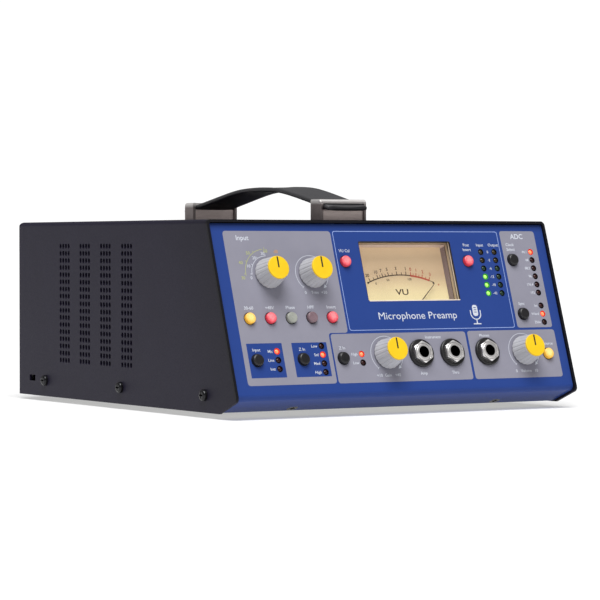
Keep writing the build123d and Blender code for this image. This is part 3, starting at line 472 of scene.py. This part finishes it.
FINISHES = {
    "black_cover": black_powder_coat(),
    "plated_steel": zinc_plate(),
    "blue_panel": blue_paint(),
    "rubber": plastic("foot_rubber", (0.012, 0.012, 0.012), (0.02, 0.02, 0.02), 0.75, 0.00008),
    "black_screws": mottled("black_passivated_steel", (0.008, 0.008, 0.01), (0.018, 0.018, 0.02),
                            0.16, 0.28, 1800.0, 0.00003, Metallic=0.5),
    "strap": strap_vinyl(),
    "handle_metal": brushed_nickel("satin_nickel", (0.175, 0.148, 0.144), (0.29, 0.25, 0.245)),
    "saddle_metal": brushed_nickel("satin_nickel_saddle", (0.52, 0.43, 0.41), (0.76, 0.65, 0.61)),
    "nickel": bright_nickel(),
    "sleeve_nickel": jack_sleeve(),
    "black_plastic": plastic("black_plastic", (0.007, 0.007, 0.008), (0.013, 0.012, 0.013), 0.34,
                             Specular_IOR_Level=0.4),
    "lamp_green": dark_lamp("lamp_green_dark", (0.006, 0.022, 0.014), (0.012, 0.04, 0.022)),
    "lamp_red": dark_lamp("lamp_red_dark", (0.016, 0.003, 0.003), (0.035, 0.006, 0.006)),
    "meter_case": meter_moulding(),
    "clear_window": window_acrylic(),
    "dial_face": dial_card(),
    "needle_black": plastic("needle_paint", (0.03, 0.018, 0.012), (0.045, 0.028, 0.02), 0.45),
    "copper": copper_winding(),
    "circuit_board": mottled("solder_resist", (0.008, 0.06, 0.025), (0.014, 0.10, 0.04),
                             0.25, 0.4, 700.0, 0.00005),
    "winding_wrap": mottled("winding_tape", (0.30, 0.20, 0.03), (0.42, 0.30, 0.06),
                            0.3, 0.45, 400.0, 0.0002),
    "knob_grey": plastic("knob_grey_plastic", (0.41, 0.41, 0.435), (0.46, 0.46, 0.485), 0.32),
    "cap_yellow": plastic("cap_yellow_plastic", (0.74, 0.47, 0.003), (0.82, 0.53, 0.006), 0.4),
    "lens_grey": plastic("lens_grey_plastic", (0.24, 0.25, 0.22), (0.36, 0.37, 0.33), 0.28,
                         0.00008),
    "lens_mauve": plastic("lens_mauve_plastic", (0.14, 0.085, 0.10), (0.22, 0.15, 0.17), 0.28,
                          0.00008),
}

# nodes whose finish isn't their CAD material's own
OWN_FINISH = {"handle_saddles": "saddle_metal", "jack_bushings": "sleeve_nickel"}


def paint_nodes():
    """Gives every CAD node its finish, and each lit button its own glow."""
    red_edge, red_heart = (0.50, 0.03, 0.05), (0.74, 0.20, 0.22)
    yellow_edge, yellow_heart = (0.66, 0.34, 0.03), (0.78, 0.56, 0.20)
    for name, node in frame["nodes"].items():
        slot = node.data.materials[0].name.split(".")[0]
        if slot == "lens_red":
            finish = glowing_lens(name + "_glow", name, red_edge, red_heart, 0.37)
        elif slot == "lens_yellow":
            finish = glowing_lens(name + "_glow", name, yellow_edge, yellow_heart, 0.35)
        else:
            finish = FINISHES[OWN_FINISH.get(name, slot)]
        node.data.materials[0] = finish


# ---- printing -----------------------------------------------------------------------
def disc(spot, radius, count=32):
    """Closed outline of a circle."""
    steps = [2 * math.pi * i / count for i in range(count)]
    return [(spot[0] + radius * math.cos(a), spot[1] + radius * math.sin(a)) for a in steps]


def rounded(corners, radius, steps=6):
    """Closed outline through corners, each rounded off by a radius."""
    outline = []
    for i, corner in enumerate(corners):
        here = Vector(corner)
        before = (Vector(corners[i - 1]) - here).normalized()
        after = (Vector(corners[(i + 1) % len(corners)]) - here).normalized()
        reach = radius / math.tan(before.angle(after) / 2)
        first, last = here + before * reach, here + after * reach
        for step in range(steps + 1):
            t = step / steps
            bend = first.lerp(here, t).lerp(here.lerp(last, t), t)
            outline.append((bend.x, bend.y))
    return outline


def box_outline(u_range, v_range, radius):
    """Closed outline of a rounded rectangle."""
    (u0, u1), (v0, v1) = u_range, v_range
    return rounded([(u0, v0), (u1, v0), (u1, v1), (u0, v1)], radius)


def band(centre, radius, width, start, end, count=48):
    """Closed outline of an arc of some width, between two angles in degrees."""
    angles = [math.radians(start + (end - start) * i / count) for i in range(count + 1)]
    rims = []
    for r, order in ((radius + width / 2, angles), (radius - width / 2, angles[::-1])):
        rims += [(centre[0] + r * math.cos(a), centre[1] + r * math.sin(a)) for a in order]
    return rims


def stroke(start, end, width):
    """Closed outline of a straight line of some width."""
    a, b = Vector(start), Vector(end)
    side = (b - a).orthogonal().normalized() * width / 2
    return [tuple(a + side), tuple(b + side), tuple(b - side), tuple(a - side)]


def filled(outlines, height, thick=INK_T):
    """Flat filled mesh of closed outlines, even-odd, in panel millimetres."""
    curve = bpy.data.curves.new("outline", "CURVE")
    curve.dimensions = "2D"
    curve.fill_mode = "BOTH"
    curve.extrude = thick / 2
    for points in outlines:
        spline = curve.splines.new("POLY")
        spline.points.add(len(points) - 1)
        spline.points.foreach_set("co", [c for p in points for c in (p[0], p[1], 0, 1)])
        spline.use_cyclic_u = True
    return curve_mesh(curve, Matrix.Translation((0, 0, height)))


def curve_mesh(curve, move):
    """Mesh of a flat curve or lettering, moved in the panel's frame."""
    holder = bpy.data.objects.new("holder", curve)
    mesh = bpy.data.meshes.new_from_object(holder)
    mesh.transform(move)
    bpy.data.objects.remove(holder)
    return mesh


CAP_RATIO = 0.682       # height of a capital over the lettering's size


def word(text, u, v, cap, align="CENTER", wide=1.0, bold=0.0, height=INK_H):
    """Lettering whose capitals are cap tall and centred on V, widened by a factor."""
    curve = bpy.data.curves.new("word", "FONT")
    curve.body = text
    curve.size = cap / CAP_RATIO
    curve.align_x = align
    curve.offset = bold
    curve.extrude = INK_T / 2
    curve.resolution_u = 3
    place = Matrix.Translation((u, v - cap / 2, height)) @ Matrix.Diagonal((wide, 1, 1, 1))
    return curve_mesh(curve, place)


def ridden(name, data, body, replaced=None):
    """Object of a mesh that rides on a body, and may stand in for a CAD node."""
    made = bpy.data.objects.new(name, data)
    bpy.context.scene.collection.objects.link(made)
    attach(made, body)
    if replaced:
        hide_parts(replaced)
    return made


def piece(name, meshes, material, body="case", frame_matrix=PANEL):
    """Joins meshes in panel millimetres into one piece that rides on a body."""
    joined = bmesh.new()
    for mesh in meshes:
        joined.from_mesh(mesh)
        bpy.data.meshes.remove(mesh)
    joined.transform(frame_matrix @ Matrix.Scale(MM, 4))
    data = bpy.data.meshes.new(name)
    joined.to_mesh(data)
    joined.free()
    data.materials.append(material)
    ridden(name, data, body)


def inside(spot, u_range, v_range):
    """True if a panel spot lies in a rectangle."""
    return u_range[0] < spot[0] < u_range[1] and v_range[0] < spot[1] < v_range[1]


def panel_openings():
    """Outlines just larger than every hole in the panel, with their middles."""
    groups = [(LIT_BUTTONS, HOLE_LIT), (BLACK_BUTTONS, HOLE_BLACK), (every_lamp(), HOLE_LAMP),
              (FRONT_JACKS, HOLE_JACK), (CONTROLS.values(), HOLE_CONTROL)]
    return [(spot, disc(spot, radius)) for spots, radius in groups for spot in spots]


SUB_PANELS = [((11.1, 32.7), (11.4, 30.2)), ((38.7, 60.5), (11.3, 30.1))]
AREA_U = (8.2, 63.0, 75.4)       # left end, inner edge of the step and right end
AREA_V = (7.3, 35.1, 92.2)       # foot, top of the step and top
GREY_BOXES = [((188.0, 212.1), (36.0, 92.6)), ((64.0, 151.5), (7.2, 34.5)),
              ((153.0, 212.7), (7.2, 34.7))]


def grey_areas():
    """The grey printed areas, cut out at every hole and at the two blue fields."""
    openings = panel_openings()
    (left, step, right), (low, shelf, high) = AREA_U, AREA_V
    corners = [(left, low), (step, low), (step, shelf), (right, shelf), (right, high), (left, high)]
    outlines = [rounded(corners, 2.0)]
    outlines += [box_outline(u, v, 0.4) for u, v in SUB_PANELS]
    for spot, hole in openings:
        in_step = inside(spot, (step, right), (low, shelf))
        in_field = any(inside(spot, u, v) for u, v in SUB_PANELS)
        if inside(spot, (left, right), (low, high)) and not in_step and not in_field:
            outlines.append(hole)
    for u, v in GREY_BOXES:
        outlines.append(box_outline(u, v, 1.8))
        outlines += [hole for spot, hole in openings if inside(spot, u, v)]
    piece("print_grey_areas", [filled(outlines, AREA_H)], grey_ink())


def microphone_mark():
    """Plain microphone pictogram: a capsule, its yoke, a stem and a foot."""
    u, v = 161.2, 44.2
    capsule = box_outline((u - 1.7, u + 1.7), (v - 1.0, v + 5.4), 1.65)
    slots = [box_outline((u - 0.9, u + 0.9), (v + 1.0 + 1.3 * i, v + 1.45 + 1.3 * i), 0.2)
             for i in range(3)]
    yoke = band((u, v + 0.4), 3.3, 0.6, 180, 360)
    arms = [box_outline((u + s * 3.3 - 0.3, u + s * 3.3 + 0.3), (v + 0.4, v + 2.4), 0.25)
            for s in (-1, 1)]
    stem = box_outline((u - 0.35, u + 0.35), (v - 5.2, v - 2.9), 0.1)
    foot = box_outline((u - 2.6, u + 2.6), (v - 5.8, v - 5.2), 0.25)
    return [filled([capsule] + slots, INK_H)] + [filled([o], INK_H) for o in
                                                  [yoke, stem, foot] + arms]


def dial_ring(centre, radius=10.1):
    """Scale ring of a knob, from lower left round to an arrow at lower right."""
    arc = band(centre, radius, 0.26, 228, -42)
    tip = Matrix.Rotation(math.radians(-48), 2)
    arrow = [tip @ Vector(p) for p in ((radius - 1.1, 1.0), (radius + 0.9, 1.0), (radius, -1.1))]
    arrow = [(centre[0] + p.x, centre[1] + p.y) for p in arrow]
    start = Matrix.Rotation(math.radians(228), 2)
    ends = [start @ Vector((radius + d, 0)) for d in (-0.7, 0.7)]
    tick = stroke(*[(centre[0] + p.x, centre[1] + p.y) for p in ends], 0.26)
    return [filled([o], INK_H) for o in (arc, arrow, tick)]


def gain_scale(radius, width, start, end):
    """Arc of the gain switch's scale with a tick at each of its four steps."""
    shapes = [band(GAIN, radius, width, start, end)]
    for step in range(4):
        angle = math.radians(90 + 30 * step)
        way = Vector((math.cos(angle), math.sin(angle)))
        middle = Vector(GAIN)
        shapes.append(stroke(middle + way * (radius - 0.2), middle + way * (radius + 1.0), width))
    return [filled([shape], INK_H) for shape in shapes]


def lamp_words(column, texts, cap=1.5):
    """Right-aligned words beside a column of lamps, the first beside the top one."""
    spots = lamp_column(*column)[::-1]
    return [word(text, u - 2.6, v, cap, "RIGHT", bold=0.02) for text, (u, v) in zip(texts, spots)]


def frame_line():
    """Pale blue line round the meter's field."""
    outer, inner = [box_outline((76.7 + d, 186.2 - d), (36.1 + d, 92.3 - d), 1.6 - r)
                    for d, r in ((0.0, 0.0), (0.35, 0.3))]
    piece("print_frame_line", [filled([outer, inner], INK_H)],
          ink("pale_blue_ink", (0.27, 0.36, 0.66)))


def control_names():
    """Titles of the panel's sections and names of its controls."""
    marks = [word("Input", 19.6, 88.4, 2.6, bold=0.05),
             word("ADC", 199.4, 89.4, 2.8, bold=0.05),
             word("Microphone Preamp", 122.5, 44.1, 3.9, wide=1.1)]
    for text, (u, v) in zip(("30-60", "+48V", "Phase", "HPF", "Insert"), LIT_ROW):
        marks.append(word(text, u + 0.5, v + 5.9, 1.7, bold=0.03))
    small = [
        ("Input", 16.6, 26.7), ("Z In", 44.7, 26.5), ("VU Cal", 82.3, 81.1),
        ("Post", 163.4, 84.4), ("Insert", 163.4, 81.7), ("Input", 172.7, 84.4),
        ("Output", 181.9, 84.4), ("Z In", 69.9, 26.7), ("+10", 90.7, 11.0),
        ("Gain", 96.2, 11.0), ("+40", 102.4, 11.0), ("Amp", 119.6, 11.5),
        ("Thru", 140.3, 11.5), ("Instrument", 129.6, 31.7), ("0", 53.3, 57.8),
        ("Trim", 59.1, 57.8), ("+20", 64.9, 57.8), ("Clock", 193.6, 84.6),
        ("Select", 193.7, 81.8), ("Sync", 193.8, 50.0), ("Phones", 164.1, 32.0),
        ("0", 181.6, 11.2), ("Volume", 188.1, 11.2), ("10", 195.0, 11.2),
        ("Source", 206.6, 26.6), ("0", 21.3, 66.2), ("10", 20.7, 72.7), ("20", 25.0, 77.2),
        ("30", 30.6, 79.6),
    ]
    return marks + [word(text, u, v, 1.6, bold=0.025) for text, u, v in small]


def lamp_names():
    """Numbers between the level lamps and words beside the status lamps."""
    marks = []
    levels = ("0", "-2", "-6", "-12", "-18", "-42")
    for text, (_, v) in zip(levels, lamp_column(*LEVEL_COLUMNS[0])[::-1]):
        marks.append(word(text, sum(LEVEL_U) / 2, v, 1.4, bold=0.02))
    marks += lamp_words(INPUT_LAMPS, ("Mic", "Line", "Inst"))
    marks += lamp_words(IMPEDANCE_LAMPS, ("Low", "Std", "Med", "High"))
    marks += lamp_words(INSTRUMENT_LAMPS, ("High", "Low"))
    marks += lamp_words(CLOCK_LAMPS, ("44.1", "48", "88.2", "96", "176.4", "192"), 1.4)
    return marks + lamp_words(SYNC_LAMPS, ("Int", "Word", "256x"), 1.4)


def white_printing():
    """White titles, names, scales and microphone mark."""
    marks = control_names() + lamp_names()
    for centre in (TRIM, INSTRUMENT, PHONES):
        marks += dial_ring(centre)
    marks += gain_scale(9.9, 0.3, 90, 182)
    marks += microphone_mark()
    piece("print_white", marks, ink("white_ink", (0.58, 0.61, 0.68)))


def coloured_printing():
    """Yellow upper range of the gain switch, and its orange unit."""
    spots = (("30", 16.3, 66.2), ("40", 16.3, 74.6), ("50", 21.6, 79.9), ("60", 32.6, 81.0))
    marks = [word(text, u, v, 1.7, bold=0.03) for text, u, v in spots]
    marks += gain_scale(13.7, 0.3, 95, 184)
    piece("print_yellow", marks, ink("yellow_ink", (0.40, 0.43, 0.17)))
    piece("print_orange", [word("dB", 39.0, 80.7, 1.7, bold=0.03)],
          ink("orange_ink", (0.50, 0.27, 0.13)))


def dial_point(u, out):
    """Panel point on the dial, out beyond the scale's arc above a given U on it."""
    angle = math.asin((u - DIAL_CENTRE[0]) / DIAL_R)
    reach = DIAL_R + out
    return (DIAL_CENTRE[0] + reach * math.sin(angle), DIAL_CENTRE[1] + reach * math.cos(angle))


def dial_arc(u_start, u_end, width):
    """Part of the scale's arc between two U positions."""
    ends = [90 - math.degrees(math.asin((u - DIAL_CENTRE[0]) / DIAL_R)) for u in (u_start, u_end)]
    return band(DIAL_CENTRE, DIAL_R, width, *ends)


def dial_marks(numbers, halves, height):
    """Ticks and numerals of one colour on the dial."""
    shapes = [stroke(dial_point(u, 0), dial_point(u, 2.1), 0.48) for _, u in numbers]
    shapes += [stroke(dial_point(u, 0), dial_point(u, 1.5), 0.36) for u in halves]
    meshes = [filled([shape], height) for shape in shapes]
    for text, u in numbers:
        meshes.append(word(text, *dial_point(u, 3.8), 1.75, bold=0.05, height=height))
    return meshes


def dial_printing():
    """Scale of the level meter: dark brown up to zero, then red."""
    height = DIAL_H + INK_H
    dark = dial_marks([("20", 102.6), ("10", 108.0), ("7", 111.3), ("5", 115.2), ("3", 120.8),
                       ("1", 126.8)], [105.2, 109.6, 113.2, 117.8, 123.9], height)
    dark.append(filled([dial_arc(101.2, 129.4, 0.6)], height))
    dark.append(filled([dial_arc(141.8, 143.8, 0.35)], height))
    dark.append(word("VU", 122.3, 60.6, 3.2, wide=1.4, bold=0.06, height=height))
    for text, u in (("0", 105.4), ("50", 113.9), ("100", 128.8)):
        dark.append(word(text, *dial_point(u, -2.2), 1.3, bold=0.02, height=height))
    dark += [filled([disc(spot, 0.62, 16)], height) for spot in ((101.0, 66.0), (144.1, 65.7))]
    red = dial_marks([("0", 129.8), ("1", 133.2), ("2", 137.1), ("3", 141.5)],
                     [131.5, 135.1, 139.3], height)
    red.append(filled([dial_arc(129.4, 141.8, 1.0)], height))
    red.append(word("+", 147.4, 64.6, 1.6, bold=0.05, height=height))
    brown = ink("dial_dark_ink", (0.045, 0.021, 0.010))
    piece("dial_print_dark", dark, brown)
    piece("dial_print_red", red, ink("dial_red_ink", (0.50, 0.07, 0.035)))


def rear_printing():
    """Plain white names beside the rear connectors."""
    face = Matrix.Translation((0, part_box("rear_panel")[1].y, 0))
    upright = Matrix.Rotation(math.pi, 4, "Z") @ Matrix.Rotation(math.pi / 2, 4, "X")
    marks = []
    for text, node in (("Mic Input", "mic_input_socket"), ("Line Output", "line_output_plug"),
                       ("Mains", "mains_inlet")):
        a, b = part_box(node)
        marks.append(word(text, -(a.x + b.x) / 2 / MM, b.z / MM + 3.0, 2.0, bold=0.03))
    for i, text in enumerate(("Line In", "Send", "Return", "Direct")):
        marks.append(word(text, 92.0 - 20.0 * i, 41.0, 1.8, bold=0.03))
    piece("print_rear", marks, ink("rear_ink", (0.6, 0.6, 0.6)),
          frame_matrix=face @ upright)


def knob_pointers():
    """Black line on each yellow cap, from its middle to its edge."""
    black = ink("pointer_ink", (0.02, 0.015, 0.01))
    for name, (u, v) in CONTROLS.items():
        cap = frame["nodes"][name + "_knob_cap"].data
        top = max((PANEL.inverted() @ point.co).z for point in cap.vertices) / MM
        line = stroke((u, v - 0.1), (u, v + 5.9), 0.9)
        piece(name + "_pointer_line", [filled([line], top + INK_H)], black,
              name + "_control")


# ---- linings of the openings --------------------------------------------------------
LINER_GAP = 0.06        # between a liner and its hole
LINER_H = -0.92         # middle height of the liners, then their thickness
LINER_T = 2.1


def liner(spot, hole, wall):
    """Ring that lines a round hole of some radius and stands just above its edge."""
    radius = hole - LINER_GAP
    return filled([disc(spot, radius, 40), disc(spot, radius - wall, 40)], LINER_H, LINER_T)


def lamp_liner(spot):
    """Thin ring round a lamp."""
    return liner(spot, HOLE_LAMP, 0.12)


def window_frame():
    """Outlines of a thin frame just inside the edge of the meter's window."""
    (u0, u1), (v0, v1) = WINDOW_U, WINDOW_V
    return [box_outline((u0 + d, u1 - d), (v0 + d, v1 - d), 1.0 - d) for d in (0.02, 0.2)]


def linings():
    """Black liners in the holes of lamps and buttons and in the window's edge, partly black holders
    and partly painted shade in the gaps and along the window's cut edge.
    """
    # partly painted shade: black rings that also stand for the shade in the gaps round the buttons
    # and lamps
    meshes = [liner(spot, HOLE_LIT, 0.28) for spot in LIT_BUTTONS]
    meshes += [liner(spot, HOLE_BLACK, 0.26) for spot in BLACK_BUTTONS]
    lit_lamps = [spot for spots in lit_spots() for spot in spots]
    meshes += [lamp_liner(spot) for spot in every_lamp() if spot not in lit_lamps]
    # painted shade: a black frame and lintel along the window's cut edge
    (left, right), top = WINDOW_U, WINDOW_V[1]
    painted_shade_lintel = box_outline((left + 0.1, right - 0.1), (top - 0.3, top - 0.1), 0.05)
    meshes += [filled(window_frame(), -0.6, 1.2), filled([painted_shade_lintel], -1.3, 0.9)]
    piece("opening_liners", meshes, FINISHES["black_plastic"])


def window_trim():
    """Cream frame behind the window's black edge, and a pale strip that is a painted highlight
    along the window's bottom edge.
    """
    cream = plastic("window_trim_plastic", (0.66, 0.56, 0.46), (0.80, 0.70, 0.58), 0.3)
    (left, right), foot = WINDOW_U, WINDOW_V[0]
    # painted highlight: a pale strip along the window's bottom edge
    painted_highlight_sill = box_outline((left + 0.6, right - 0.3), (foot - 0.1, foot + 0.45), 0.1)
    piece("window_trim", [filled(window_frame(), -1.6, 0.8), filled([painted_highlight_sill], -0.1, 0.3)], cream)


# ---- lamps --------------------------------------------------------------------------
def lamps_from(node, spots, name, material):
    """Piece made of a CAD node's lamps that stand at these panel spots."""
    source = bmesh.new()
    source.from_mesh(frame["nodes"][node].data)
    to_panel = PANEL.inverted()
    other = []
    for face in source.faces:
        centre = to_panel @ face.calc_center_median() / MM
        if not any(math.hypot(centre.x - u, centre.y - v) < LAMP_REACH for u, v in spots):
            other.append(face)
    bmesh.ops.delete(source, geom=other, context="FACES")
    data = bpy.data.meshes.new(name)
    source.to_mesh(data)
    source.free()
    data.materials.clear()
    data.materials.append(material)
    data.polygons.foreach_set("material_index", [0] * len(data.polygons))
    ridden(name, data, "case", node)


def light_lamps():
    """Splits both groups of lamps into lit and dark ones, and gives the liners round the lit ones a
    painted glow.
    """
    green_lit, red_lit = lit_spots()
    first, second = [lamp_column(*column) for column in LEVEL_COLUMNS]
    glow = lit_lamp("lamp_green_lit", (0.02, 0.22, 0.025), (0.36, 0.78, 0.12), 0.8)
    lamps_from("level_leds", green_lit, "level_lamps_lit", glow)
    # painted light: the liners round the lit green lamps glow, standing for the lamps' light on
    # their rims
    rim = lit_lamp("lamp_green_painted_halo", (0.02, 0.20, 0.025), (0.05, 0.30, 0.03), 0.4)
    piece("level_liners_painted_glow", [lamp_liner(spot) for spot in green_lit], rim)
    lamps_from("level_leds", first[LEVEL_LIT:LEVEL_GREEN] + second[:LEVEL_GREEN],
               "level_lamps_dark", FINISHES["lamp_green"])
    amber_dark = dark_lamp("lamp_amber_dark", (0.018, 0.013, 0.006), (0.04, 0.026, 0.009))
    lamps_from("level_leds", first[LEVEL_GREEN:] + second[LEVEL_GREEN:], "level_lamps_peak",
               amber_dark)
    glow = lit_lamp("lamp_red_lit", (0.62, 0.022, 0.014), (1.0, 0.24, 0.09), 0.9)
    lamps_from("status_leds", red_lit, "status_lamps_lit", glow)
    # painted light: the liners round the lit red lamps glow, standing for the lamps' light on their
    # rims
    rim = lit_lamp("lamp_red_painted_halo", (0.40, 0.02, 0.012), (0.52, 0.04, 0.025), 0.5)
    piece("status_liners_painted_glow", [lamp_liner(spot) for spot in red_lit], rim)
    dark = [spot for column in STATUS_COLUMNS for spot in lamp_column(*column)
            if spot not in red_lit]
    lamps_from("status_leds", dark, "status_lamps_dark", FINISHES["lamp_red"])


# ---- strap --------------------------------------------------------------------------
STRAP_HALF_T = 0.0015   # half the strap's thickness
STRAP_RAMP = 0.2        # slope of its ends
STRAP_SHOULDER = 0.022  # where it turns down, out from its middle
STRAP_BEND = 0.012      # how gently it turns
STRAP_TWIST = 0.0007    # rise of its right edge at the middle
STRAP_LEAN = 0.0055     # how far its crest stands forward
STRAP_STATIONS = 96
# outline across the strap, in halves of its width and of its thickness
STRAP_SECTION = [
    (-1.0, -0.55), (-1.0, 0.35), (-0.955, 0.86), (-0.88, 1.0), (-0.80, 0.93), (-0.76, 0.80),
    (0.76, 0.80), (0.80, 0.93), (0.88, 1.0), (0.955, 0.86), (1.0, 0.35), (1.0, -0.55),
    (0.9, -1.0), (-0.9, -1.0),
]


def strap_ring(mesh, y, reach, half_w, middle):
    """Vertices across the strap, Y along it from its middle, a point on its box's top."""
    from_crest = y + STRAP_LEAN * (1 - (y / reach) ** 2)
    past = abs(from_crest) - STRAP_SHOULDER
    turn = math.hypot(past, STRAP_BEND)
    slope = math.copysign(STRAP_RAMP * (1 + past / turn) / 2, -from_crest)
    up = Vector((0, -slope, 1)).normalized() * STRAP_HALF_T
    base = middle + Vector((0, y, -STRAP_HALF_T - STRAP_RAMP * (past + turn) / 2))
    lift = STRAP_TWIST * math.cos(math.pi * y / (2 * reach)) ** 2
    return [mesh.verts.new(base + Vector((x * half_w, 0, (x + 1) / 2 * lift)) + up * t)
            for x, t in STRAP_SECTION]


def moulded_strap():
    """Carrying strap with thin rolled edges and a raised grip, twisted, its crest forward."""
    low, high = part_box("handle_strap")
    half_w, reach = (high.x - low.x) / 2, (high.y - low.y) / 2
    middle = Vector((0, (high.y + low.y) / 2, high.z))
    mesh = bmesh.new()
    rings = [strap_ring(mesh, -reach + 2 * reach * i / STRAP_STATIONS, reach, half_w, middle)
             for i in range(STRAP_STATIONS + 1)]
    count = len(STRAP_SECTION)
    for first, second in zip(rings, rings[1:]):
        for k in range(count):
            after = (k + 1) % count
            mesh.faces.new((first[k], first[after], second[after], second[k]))
    mesh.faces.new(rings[0])
    mesh.faces.new(rings[-1][::-1])
    bmesh.ops.recalc_face_normals(mesh, faces=mesh.faces)
    data = bpy.data.meshes.new("carrying_strap")
    mesh.to_mesh(data)
    mesh.free()
    data.materials.append(FINISHES["strap"])
    data.polygons.foreach_set("use_smooth", [True] * len(data.polygons))
    strap = ridden("carrying_strap", data, "case", "handle_strap")
    smooth = strap.modifiers.new("rounding", "SUBSURF")
    smooth.levels = smooth.render_levels = 2


# ---- stage --------------------------------------------------------------------------
def plain_floor():
    """Large pale floor, unbroken to the horizon and softly lit from within."""
    mesh = bmesh.new()
    bmesh.ops.create_circle(mesh, cap_ends=True, segments=96, radius=60.0)
    data = bpy.data.meshes.new("floor")
    mesh.to_mesh(data)
    mesh.free()
    material, tree, principled = shader("pale_floor", Roughness=0.8)
    grain = noise(tree, object_coords(tree), 30.0, 4.0)
    colour = blend(tree, grain, (0.56, 0.56, 0.56), (0.60, 0.60, 0.60))
    tree.links.new(colour, principled.inputs["Base Color"])
    principled.inputs["Emission Color"].default_value = (1, 1, 1, 1)
    principled.inputs["Emission Strength"].default_value = 0.35
    data.materials.append(material)
    floor = bpy.data.objects.new("floor", data)
    bpy.context.scene.collection.objects.link(floor)


def key_light():
    """Wide soft key light from above, a little to the left and in front."""
    lamp = bpy.data.lights.new("key_light", "SUN")
    lamp.energy = 3.9
    lamp.angle = math.radians(40.0)
    made = bpy.data.objects.new("key_light", lamp)
    made.rotation_euler = Vector((-0.2, -0.35, 0.92)).to_track_quat("Z", "Y").to_euler()
    bpy.context.scene.collection.objects.link(made)


def studio():
    """Plain white surroundings, dimmer as a light than as a backdrop."""
    world = bpy.data.worlds.new("studio")
    world.use_nodes = True
    tree = world.node_tree
    background = tree.nodes["Background"]
    background.inputs["Color"].default_value = (1, 1, 1, 1)
    ray = tree.nodes.new("ShaderNodeLightPath")
    strength = between(tree, ray.outputs["Is Camera Ray"], 0.0, 1.0, 0.3, 1.05)
    tree.links.new(strength, background.inputs["Strength"])
    bpy.context.scene.world = world
    bpy.context.scene.view_settings.view_transform = "Standard"


CAMERA_AT = (-0.81304, -1.31009, 0.08971)
CAMERA_TURN = 32.0      # degrees to the right of straight back
CAMERA_TILT = 1.126     # degrees down
CAMERA_LENS = 160.9


def camera():
    """Camera at the photograph's angle, about 1.5 m away."""
    data = bpy.data.cameras.new("camera")
    data.lens = CAMERA_LENS
    data.sensor_width = 36.0
    data.clip_end = 200.0
    made = bpy.data.objects.new("camera", data)
    turn, tilt = math.radians(CAMERA_TURN), math.radians(CAMERA_TILT)
    look = Vector((math.sin(turn) * math.cos(tilt), math.cos(turn) * math.cos(tilt),
                   -math.sin(tilt)))
    made.location = CAMERA_AT
    made.rotation_euler = look.to_track_quat("-Z", "Y").to_euler()
    bpy.context.scene.collection.objects.link(made)
    bpy.context.scene.camera = made


paint_nodes()
grey_areas()
frame_line()
white_printing()
coloured_printing()
dial_printing()
rear_printing()
knob_pointers()
linings()
window_trim()
light_lamps()
moulded_strap()
plain_floor()
key_light()
studio()
camera()
